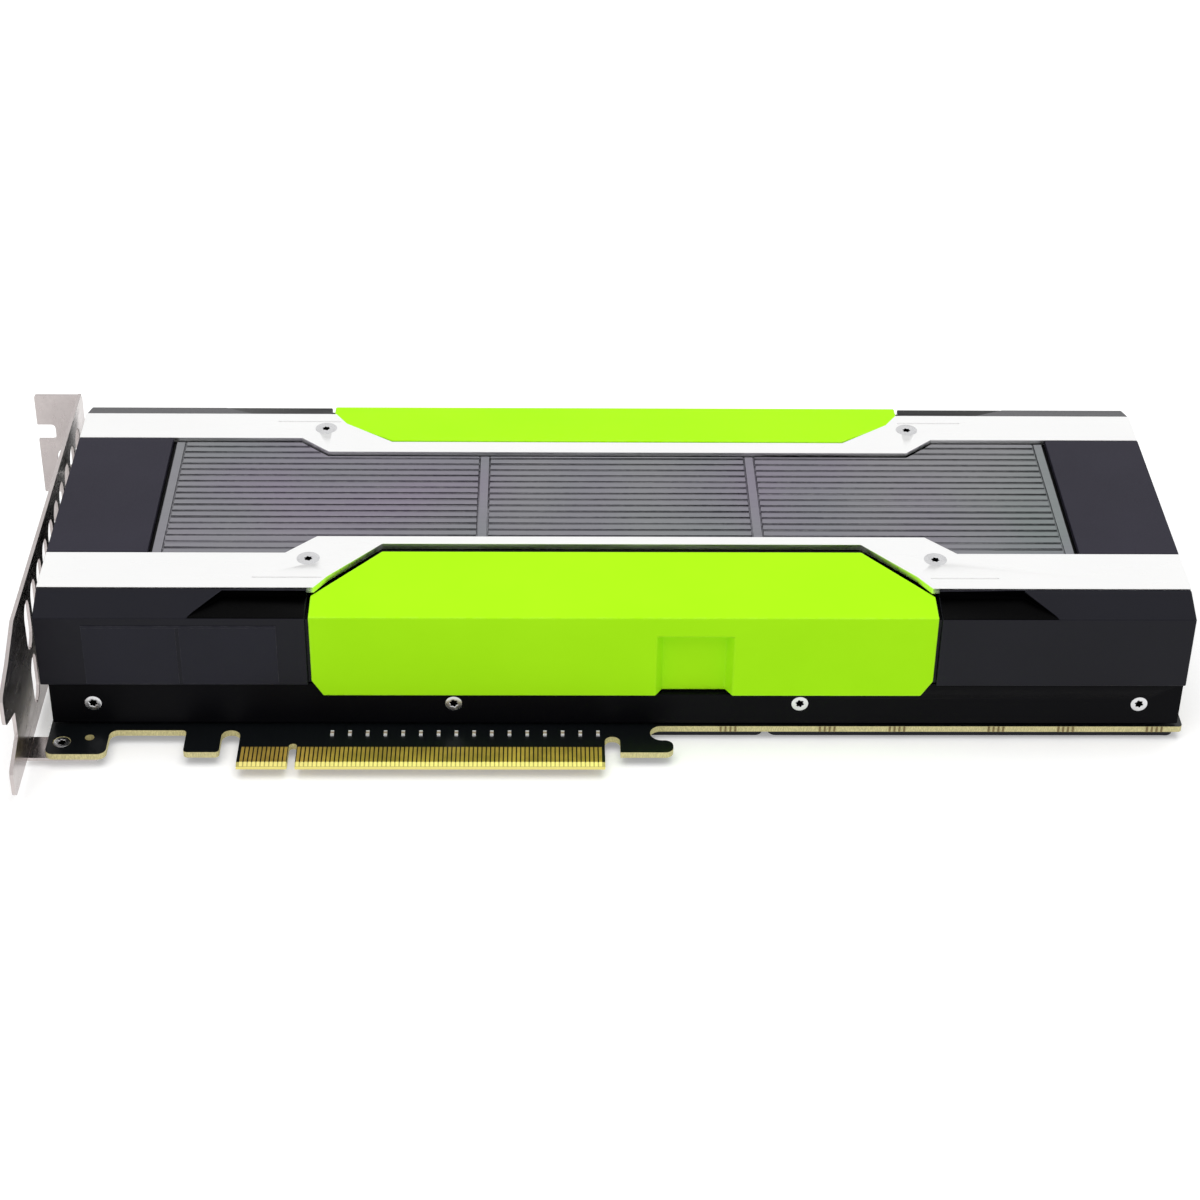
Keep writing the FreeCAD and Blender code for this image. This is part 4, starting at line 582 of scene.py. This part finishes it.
def bracket_metal():
    f = finishes()
    return surface("bracket_metal", tuple(f.bracket), toned(f.bracket, 0.82), grain=900.0,
                   stretch=(1.0, 0.12, 0.4), mottle=90.0, rough=(0.18, 0.30), bump=0.000010,
                   metallic=1.0, wear_and_highlight=(0.78, 0.76, 0.75), wear_and_highlight_radius=0.00015, wear_and_highlight_amount=0.4)


def screw_steel():
    f = finishes()
    return surface("screw_steel", tuple(f.steel), toned(f.steel, 0.85), grain=2600.0, mottle=400.0,
                   rough=(0.22, 0.38), bump=0.000006, metallic=1.0, wear_and_highlight=(0.95, 0.95, 0.95),
                   wear_and_highlight_radius=0.00012, wear_and_highlight_amount=0.8, shade_recesses=True)


def fin_metal():
    f = finishes()
    return surface("fin_metal", tuple(f.fins), toned(f.fins, 0.86), grain=2200.0,
                   stretch=(0.1, 1.0, 1.0), mottle=60.0, rough=(0.28, 0.44), bump=0.000006,
                   metallic=1.0)


def chamber_nickel():
    return surface("chamber_nickel", (0.66, 0.61, 0.55), (0.55, 0.50, 0.44), grain=1800.0,
                   stretch=(0.2, 1.0, 1.0), mottle=70.0, rough=(0.24, 0.40), bump=0.000006,
                   metallic=1.0)


def moulded_black():
    return surface("moulded_black", (0.016, 0.016, 0.017), (0.011, 0.011, 0.012), grain=6000.0,
                   mottle=90.0, rough=(0.42, 0.6), bump=0.000012, specular=0.4,
                   wear_and_highlight=(0.09, 0.09, 0.09), wear_and_highlight_radius=0.00015, wear_and_highlight_amount=0.4)


def chip_package():
    return surface("chip_package", (0.022, 0.022, 0.024), (0.016, 0.016, 0.018), grain=9000.0,
                   mottle=120.0, rough=(0.45, 0.62), bump=0.000008, specular=0.4)


def gold_plate():
    f = finishes()
    return surface("gold_plate", tuple(f.gold), toned(f.gold, 0.45), grain=2400.0,
                   stretch=(1.0, 0.12, 1.0), mottle=110.0, rough=(0.35, 0.50), bump=0.000004,
                   metallic=0.35, wear_and_highlight=(0.62, 0.45, 0.13), wear_and_highlight_radius=0.00008, wear_and_highlight_amount=0.6)


# painted highlight: lighter gold for the contacts' bevelled tips
def bright_gold():
    f = finishes()
    return surface("bright_gold", tuple(f.gold_highlight), toned(f.gold_highlight, 0.9), grain=2600.0,
                   stretch=(1.0, 0.2, 1.0), mottle=300.0, rough=(0.30, 0.45), bump=0.000003,
                   metallic=0.3)


def pad_grey():
    return surface("pad_grey", (0.30, 0.33, 0.37), (0.24, 0.27, 0.31), grain=3000.0, mottle=200.0,
                   rough=(0.6, 0.8), bump=0.00003, specular=0.3)


def powder_grey():
    return surface("powder_grey", (0.06, 0.06, 0.065), (0.04, 0.04, 0.044), grain=4000.0,
                   mottle=220.0, rough=(0.5, 0.7), bump=0.00003, specular=0.4,
                   wear_and_highlight=(0.2, 0.2, 0.2), wear_and_highlight_radius=0.0003, wear_and_highlight_amount=0.6)


def can_metal():
    return surface("can_metal", (0.74, 0.75, 0.77), (0.66, 0.67, 0.69), grain=1600.0,
                   stretch=(1.0, 1.0, 0.1), mottle=120.0, rough=(0.22, 0.34), bump=0.000006,
                   metallic=1.0)


def silicon():
    return surface("silicon", (0.22, 0.23, 0.27), (0.17, 0.18, 0.23), grain=900.0, mottle=80.0,
                   rough=(0.08, 0.14), bump=0.000001, metallic=0.8)


def backplate_black():
    f = finishes()
    return surface("backplate_black", toned(f.housing, 1.5), toned(f.housing, 1.0), grain=3600.0,
                   mottle=40.0, rough=(0.40, 0.58), bump=0.000008, specular=0.35,
                   wear_and_highlight=(0.12, 0.12, 0.13), wear_and_highlight_radius=0.00025, wear_and_highlight_amount=0.6)


def board_finish():
    """Black lacquer on the faces with faint traces, and bare glass fibre on the cut edges; at the front
    bevel the cut edges take the contacts' gold, lighter above as painted highlight and brown underneath
    as painted shade.
    """
    name = "board_finish"
    if name in bpy.data.materials:
        return bpy.data.materials[name]
    f = finishes()
    material, tree, skin = shader(name)
    face = place(tree, "ShaderNodeNewGeometry")
    parts = place(tree, "ShaderNodeSeparateXYZ")
    join(tree, face.outputs["True Normal"], parts.inputs[0])
    lift = combine(tree, "ABSOLUTE", parts.outputs["Z"])
    flat = spread(tree, lift, 0, 1, *FACE_FADE)

    weave = use_group(tree, grain_group(), scale=5200.0, detail=2.0, stretch=(1.0, 1.0, 0.25))
    bare = blend_colours(tree, spread(tree, weave.outputs[0], 0, 1, 0.35, 0.6), tuple(f.laminate),
                         toned(f.laminate, 0.72))
    where = place(tree, "ShaderNodeTexCoord")
    traces = place(tree, "ShaderNodeTexBrick", Scale=420.0, Mortar_Size=0.08)
    traces.offset = 0.37
    traces.squash = 2.0
    join(tree, where.outputs["Object"], traces.inputs["Vector"])
    mask = tuple(f.solder_mask)
    lacquer = blend_colours(tree, traces.outputs["Fac"], mask, toned(mask, 2.1))
    height = place(tree, "ShaderNodeSeparateXYZ")
    join(tree, where.outputs["Object"], height.inputs[0])
    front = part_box("circuit_board")[0].y
    tip = spread(tree, height.outputs["Y"], 1, 0, front + BEVEL_END, front + BEVEL_FADE)
    # painted shade: the bevel's downward faces turn brown
    under_shade = spread(tree, parts.outputs["Z"], 1, 0, *UNDER_SHADE_FADE)
    # painted highlight: the bevel's other faces take the lighter gold
    plated = blend_colours(tree, under_shade, tuple(f.gold_highlight), TIP_UNDER_SHADE)
    cut = blend_colours(tree, tip, bare, plated)
    tint = blend_colours(tree, flat, cut, lacquer)
    join(tree, tint, skin.inputs["Base Color"])
    join(tree, spread(tree, flat, 0.55, 0.30, 0.0, 1.0), skin.inputs["Roughness"])
    emboss(tree, skin, weave.outputs[0], 0.00002)
    skin.inputs["Specular IOR Level"].default_value = 0.35
    return material


def capacitor_finish():
    """Brown ceramic body with bright tinned ends."""
    name = "capacitor_finish"
    if name in bpy.data.materials:
        return bpy.data.materials[name]
    material, tree, skin = shader(name)
    low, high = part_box("coupling_capacitors")
    where = place(tree, "ShaderNodeTexCoord")
    parts = place(tree, "ShaderNodeSeparateXYZ")
    join(tree, where.outputs["Object"], parts.inputs[0])
    offset = combine(tree, "SUBTRACT", parts.outputs["Y"], (low.y + high.y) / 2)
    away = combine(tree, "ABSOLUTE", offset)
    half = (high.y - low.y) / 2
    ends = spread(tree, away, 0, 1, *(half * share for share in CAP_END_FADE))
    fine = use_group(tree, grain_group(), scale=5000.0, detail=2.0)
    body = blend_colours(tree, spread(tree, fine.outputs[0], 0, 1), (0.42, 0.33, 0.25),
                         (0.34, 0.26, 0.20))
    join(tree, blend_colours(tree, ends, body, (0.82, 0.82, 0.84)), skin.inputs["Base Color"])
    join(tree, spread(tree, fine.outputs[0], 0.25, 0.45), skin.inputs["Roughness"])
    emboss(tree, skin, fine.outputs[0], 0.00001)
    return material


def stub_brown():
    return surface("stub_brown", (0.34, 0.26, 0.12), (0.20, 0.15, 0.07), grain=6000.0, mottle=900.0,
                   rough=(0.6, 0.8), bump=0.00003, specular=0.2)


def film_black():
    f = finishes()
    return surface("film_black", toned(f.housing, 1.6), toned(f.housing, 1.3), grain=7000.0,
                   mottle=50.0, rough=(0.30, 0.40), bump=0.000004, specular=0.14,
                   wear_and_highlight=(0.07, 0.07, 0.08), wear_and_highlight_radius=0.0002, wear_and_highlight_amount=0.8)


# ---------------------------------------------------------------- the card's pieces
def finish_covers():
    radius = bpy.context.scene.card_sizes.cover_radius
    for node in ("near_cover", "far_cover"):
        rounded(node, radius, paint(), "cover_green", segments=3)


def finish_rails():
    radius = bpy.context.scene.card_sizes.rail_radius
    for node in ("near_rail", "far_rail"):
        rounded(node, radius, rail_metal(), "rail_silver")


def finish_panels():
    radius = bpy.context.scene.card_sizes.sheet_radius
    rounded("rib_panel", radius * RIB_ROUNDING, rib_metal(), "panel_grey")
    for node in ("bracket_end_panel", "rear_end_panel"):
        rounded(node, radius * PANEL_ROUNDING, end_panel_dark(), "end_panel_dark")


def in_recess(face, top):
    """True on level faces below the chamfers' top and on the short walls that lead down to them; these
    faces get painted shade.
    """
    height = face.calc_center_median().z
    level = face.normal.z > LEVEL and height < top - POCKET_DROP
    upright = abs(face.normal.z) < UPRIGHT and height > top - POCKET_REACH
    return level or upright


def finish_housing():
    radius = bpy.context.scene.card_sizes.housing_radius
    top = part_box("shroud")[1].z
    # the pocket faces are marked for painted shade
    rounded("shroud", radius, housing_black(), "housing_black",
            sunk=lambda face: in_recess(face, top))
    rounded("base_frame", radius, frame_black(), "frame_black")


def finish_board():
    dress(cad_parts["circuit_board"], board_finish())
    dress(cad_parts["edge_contacts"], gold_plate())
    dress(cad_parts["coupling_capacitors"], capacitor_finish())


def lay_contact_tips():
    """Plated ends of the contacts, down the bevel on both faces of the board, in a lighter gold that
    paints the bevel's highlight.
    """
    low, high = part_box("circuit_board")
    middle = (low.z + high.z) / 2
    nose = max(v.co.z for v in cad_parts["circuit_board"].data.vertices
               if v.co.y < low.y + NOSE_BAND)
    drop = high.z - nose
    form = bmesh.new()
    for start, end in islands("edge_contacts"):
        side = 1 if (start.z + end.z) / 2 > middle else -1
        face = high.z if side > 0 else low.z
        front, back = low.y + TIP_INSET, start.y
        share = (back - front) / (back - low.y)
        levels = ((front, face - side * drop * share), (back, face))
        ring_ends = []
        for x in (start.x, end.x):
            ring_ends.append([form.verts.new((x, y, z + side * out)) for (y, z), out in
                              ((levels[0], -TIP_DEPTH), (levels[0], TIP_RISE),
                               (levels[1], TIP_RISE), (levels[1], -TIP_DEPTH))])
        skin_between(form, *ring_ends)
        form.faces.new(ring_ends[0])
        form.faces.new(ring_ends[1][::-1])
    piece("contact_tips", finish_form(form, "contact_tips"), bright_gold(), "gold_plating")


def finish_bracket():
    radius = bpy.context.scene.card_sizes.sheet_radius
    rounded("io_bracket", radius, bracket_metal(), "bracket_nickel")


def finish_back():
    radius = bpy.context.scene.card_sizes.sheet_radius
    for node in ("front_backplate", "rear_backplate"):
        rounded(node, radius, backplate_black(), "backplate_black")
    rounded("processor_brace", radius, bracket_metal(), "bracket_nickel")


def finish_cooler():
    dress(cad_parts["fin_stack"], fin_metal())
    dress(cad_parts["stage_heatsink"], fin_metal())
    dress(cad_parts["vapour_chamber"], chamber_nickel())


def finish_board_parts():
    looks = {
        "processor_substrate": chip_package(), "processor_die": silicon(),
        "memory_chips": chip_package(), "memory_pads": pad_grey(), "power_stages": chip_package(),
        "stage_pads": pad_grey(), "power_inductors": powder_grey(), "bulk_capacitors": can_metal(),
        "controller_chips": chip_package(), "power_socket": moulded_black(),
        "power_pins": gold_plate(),
    }
    for node, material in looks.items():
        dress(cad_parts[node], material)


def cut_screws():
    """Every set of screws again, each from the box of the solid that it stands for."""
    sizes = bpy.context.scene.card_sizes
    for node, out in SCREW_SETS.items():
        axis = max(range(3), key=lambda i: abs(out[i]))
        side = min(i for i in range(3) if i != axis)
        form = bmesh.new()
        form.faces.layers.float.new(RECESS_SHADE_MARK)
        for low, high in islands(node):
            centre = (low + high) / 2
            centre[axis] = high[axis] if out[axis] > 0 else low[axis]
            head = (high[side] - low[side]) / 2
            whole = high[axis] - low[axis]
            screw_form(form, centre, out, head, min(HEAD_DEPTH, whole * HEAD_SHARE), whole, sizes)
        made = piece(node + "_cut", finish_form(form, node + "_cut"), screw_steel(), "screw_steel",
                     node)
        soften_by_angle(made)


def snap_stubs():
    """Small ridges left on the board's front edge where it was snapped out of its panel."""
    reach = bpy.context.scene.card_sizes.stub_reach
    low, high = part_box("circuit_board")
    front = board_front()
    form = bmesh.new()
    for share in STUB_PLACES:
        for i in range(STUB_COUNT):
            x = low.x + (high.x - low.x) * share + (i - (STUB_COUNT - 1) / 2) * STUB_PITCH
            slab(form, (x - STUB_HALF_WIDTH, front - reach, low.z + STUB_LOW),
                 (x + STUB_HALF_WIDTH, front + STUB_ROOT, high.z - STUB_HIGH))
    piece("edge_stubs", finish_form(form, "edge_stubs"), stub_brown(), "board_laminate")


def board_front():
    """Y of the board's long front edge, read from its mesh at the rounded rear corner."""
    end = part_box("circuit_board")[1].x
    corner = [v.co.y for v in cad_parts["circuit_board"].data.vertices
              if v.co.x > end - MERGE_DISTANCE]
    return min(corner) - BOARD_CORNER


def lay_films():
    """Two bare films on the near wall of the housing, under one thin lip."""
    thickness = bpy.context.scene.card_sizes.label_thickness
    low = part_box("shroud")[0]
    form = bmesh.new()
    face = low.y
    bottom, top = low.z + FILM_LOW, low.z + FILM_HIGH
    for x0, x1 in FILM_RUNS:
        slab(form, (low.x + x0, face - thickness, bottom), (low.x + x1, face, top))
    slab(form, (low.x + FILM_RUNS[0][0], face - 2 * thickness, top),
         (low.x + FILM_RUNS[-1][1], face, top + FILM_LIP))
    piece("bare_films", finish_form(form, "bare_films"), film_black(), "housing_black")


# ---------------------------------------------------------------- stage
def lamp(name, energy, size, at, towards):
    """A square lamp that reflections don't show."""
    data = bpy.data.lights.new(name, "AREA")
    data.shape = "SQUARE"
    data.size = size
    data.energy = energy
    made = bpy.data.objects.new(name, data)
    bpy.context.scene.collection.objects.link(made)
    made.visible_glossy = False
    made.location = at
    made.rotation_euler = (Vector(towards) - Vector(at)).to_track_quat("-Z", "Y").to_euler()


def floor_material():
    """Pale floor that keeps the card's shadow and shows white where nothing shades it."""
    material, tree, skin = shader("pale_floor")
    grain = use_group(tree, grain_group(), scale=3.0, detail=2.0)
    tint = blend_colours(tree, spread(tree, grain.outputs[0], 0, 1), (0.86, 0.86, 0.86),
                         (0.85, 0.85, 0.85))
    join(tree, tint, skin.inputs["Base Color"])
    skin.inputs["Roughness"].default_value = 0.9
    skin.inputs["Specular IOR Level"].default_value = 0.0
    path = place(tree, "ShaderNodeLightPath")
    seen = combine(tree, "MAXIMUM", path.outputs["Is Camera Ray"], path.outputs["Is Glossy Ray"])
    glow = blend_colours(tree, seen, (0, 0, 0), (FLOOR_GLOW,) * 3)
    join(tree, glow, skin.inputs["Emission Color"])
    skin.inputs["Emission Strength"].default_value = 1.0
    return material


def set_world(strength):
    """Even pale light; the camera and reflections see plain white."""
    world = bpy.data.worlds.new("studio")
    bpy.context.scene.world = world
    world.use_nodes = True
    tree = world.node_tree
    sky = tree.nodes["Background"]
    sky.inputs["Color"].default_value = (1, 1, 1, 1)
    path = place(tree, "ShaderNodeLightPath")
    seen = combine(tree, "MAXIMUM", path.outputs["Is Camera Ray"], path.outputs["Is Glossy Ray"])
    seen = combine(tree, "MAXIMUM", seen, path.outputs["Is Transmission Ray"])
    join(tree, spread(tree, seen, strength, 1.0, 0, 1), sky.inputs["Strength"])


def build_stage():
    scene = bpy.context.scene
    stage = scene.card_stage
    form = bmesh.new()
    half = stage.floor_size / 2
    corners = [form.verts.new((x, y, 0)) for x, y in ((-half, -half), (half, -half), (half, half),
                                                      (-half, half))]
    form.faces.new(corners)
    floor = bpy.data.objects.new("floor", finish_form(form, "floor"))
    scene.collection.objects.link(floor)
    dress(floor, floor_material())
    set_world(stage.sky)
    lamp("overhead", stage.overhead, OVERHEAD_SIZE, OVERHEAD_PLACE, (0, 0, 0))
    lamp("front_left", stage.side, SIDE_SIZE, SIDE_PLACE, SIDE_TARGET)
    data = bpy.data.cameras.new("camera")
    data.lens = stage.lens
    data.sensor_width = SENSOR_WIDTH
    camera = bpy.data.objects.new("camera", data)
    scene.collection.objects.link(camera)
    camera.location = stage.camera_place
    camera.rotation_euler = Euler(stage.camera_turn)
    scene.camera = camera
    scene.view_settings.view_transform = "Standard"


# ---------------------------------------------------------------- add-on
class CARD_OT_covers(bpy.types.Operator):
    """Paint the two side covers and round their edges"""

    bl_idname = "card.covers"
    bl_label = "Side covers"

    def execute(self, context):
        finish_covers()
        return {"FINISHED"}


class CARD_OT_rails(bpy.types.Operator):
    """Give the two rails their blasted and brushed metal"""

    bl_idname = "card.rails"
    bl_label = "Rails"

    def execute(self, context):
        finish_rails()
        return {"FINISHED"}


class CARD_OT_panels(bpy.types.Operator):
    """Finish the ribbed panel and the panels at both ends"""

    bl_idname = "card.panels"
    bl_label = "Top panels"

    def execute(self, context):
        finish_panels()
        return {"FINISHED"}


class CARD_OT_housing(bpy.types.Operator):
    """Finish the duct housing and the base frame"""

    bl_idname = "card.housing"
    bl_label = "Housing and frame"

    def execute(self, context):
        finish_housing()
        return {"FINISHED"}


class CARD_OT_films(bpy.types.Operator):
    """Lay the bare films on the near wall"""

    bl_idname = "card.films"
    bl_label = "Bare films"

    def execute(self, context):
        lay_films()
        return {"FINISHED"}


class CARD_OT_board(bpy.types.Operator):
    """Finish the circuit board, its contacts and its front row of capacitors"""

    bl_idname = "card.board"
    bl_label = "Circuit board"

    def execute(self, context):
        finish_board()
        return {"FINISHED"}


class CARD_OT_contact_tips(bpy.types.Operator):
    """Run the contacts' plating down the board's bevel"""

    bl_idname = "card.contact_tips"
    bl_label = "Contact tips"

    def execute(self, context):
        lay_contact_tips()
        return {"FINISHED"}


class CARD_OT_stubs(bpy.types.Operator):
    """Add the snapped-off stubs along the board's edge"""

    bl_idname = "card.stubs"
    bl_label = "Edge stubs"

    def execute(self, context):
        snap_stubs()
        return {"FINISHED"}


class CARD_OT_board_parts(bpy.types.Operator):
    """Finish the chips, inductors, capacitors and the power socket"""

    bl_idname = "card.board_parts"
    bl_label = "Parts on the board"

    def execute(self, context):
        finish_board_parts()
        return {"FINISHED"}


class CARD_OT_cooler(bpy.types.Operator):
    """Finish the vapour chamber and the fins"""

    bl_idname = "card.cooler"
    bl_label = "Cooler"

    def execute(self, context):
        finish_cooler()
        return {"FINISHED"}


class CARD_OT_bracket(bpy.types.Operator):
    """Give the bracket its nickel plating and rounded edges"""

    bl_idname = "card.bracket"
    bl_label = "Bracket"

    def execute(self, context):
        finish_bracket()
        return {"FINISHED"}


class CARD_OT_back(bpy.types.Operator):
    """Finish the backplates and the processor's brace"""

    bl_idname = "card.back"
    bl_label = "Back of the board"

    def execute(self, context):
        finish_back()
        return {"FINISHED"}


class CARD_OT_screws(bpy.types.Operator):
    """Cut every screw with a rounded head and a six-lobe recess"""

    bl_idname = "card.screws"
    bl_label = "Screws"

    def execute(self, context):
        cut_screws()
        return {"FINISHED"}


class CARD_OT_stage(bpy.types.Operator):
    """Set up the floor, the lamps and the camera"""

    bl_idname = "card.stage"
    bl_label = "Studio"

    def execute(self, context):
        build_stage()
        return {"FINISHED"}


OPERATORS = (CARD_OT_covers, CARD_OT_rails, CARD_OT_panels, CARD_OT_housing, CARD_OT_films,
             CARD_OT_board, CARD_OT_contact_tips, CARD_OT_stubs, CARD_OT_board_parts,
             CARD_OT_cooler, CARD_OT_bracket, CARD_OT_back, CARD_OT_screws, CARD_OT_stage)


class CARD_PT_panel(bpy.types.Panel):
    """Lists the card's finishing steps with their sizes and colours"""

    bl_idname = "CARD_PT_panel"
    bl_label = "Accelerator card"
    bl_space_type = "VIEW_3D"
    bl_region_type = "UI"
    bl_category = "Card"

    def draw(self, context):
        layout = self.layout
        for group in (context.scene.card_finish, context.scene.card_sizes, context.scene.card_stage):
            box = layout.box()
            for key in group.__annotations__:
                box.prop(group, key)
        for operator in OPERATORS:
            layout.operator(operator.bl_idname)


CLASSES = (CardFinish, CardSizes, CardStage, *OPERATORS, CARD_PT_panel)


def register():
    for entry in CLASSES:
        bpy.utils.register_class(entry)
    bpy.types.Scene.card_finish = PointerProperty(type=CardFinish)
    bpy.types.Scene.card_sizes = PointerProperty(type=CardSizes)
    bpy.types.Scene.card_stage = PointerProperty(type=CardStage)


def unregister():
    del bpy.types.Scene.card_stage
    del bpy.types.Scene.card_sizes
    del bpy.types.Scene.card_finish
    for entry in reversed(CLASSES):
        bpy.utils.unregister_class(entry)


def main():
    register()
    for operator in OPERATORS:
        step = operator.bl_idname.split(".")[1]
        getattr(bpy.ops.card, step)()


if __name__ == "__main__":
    main()
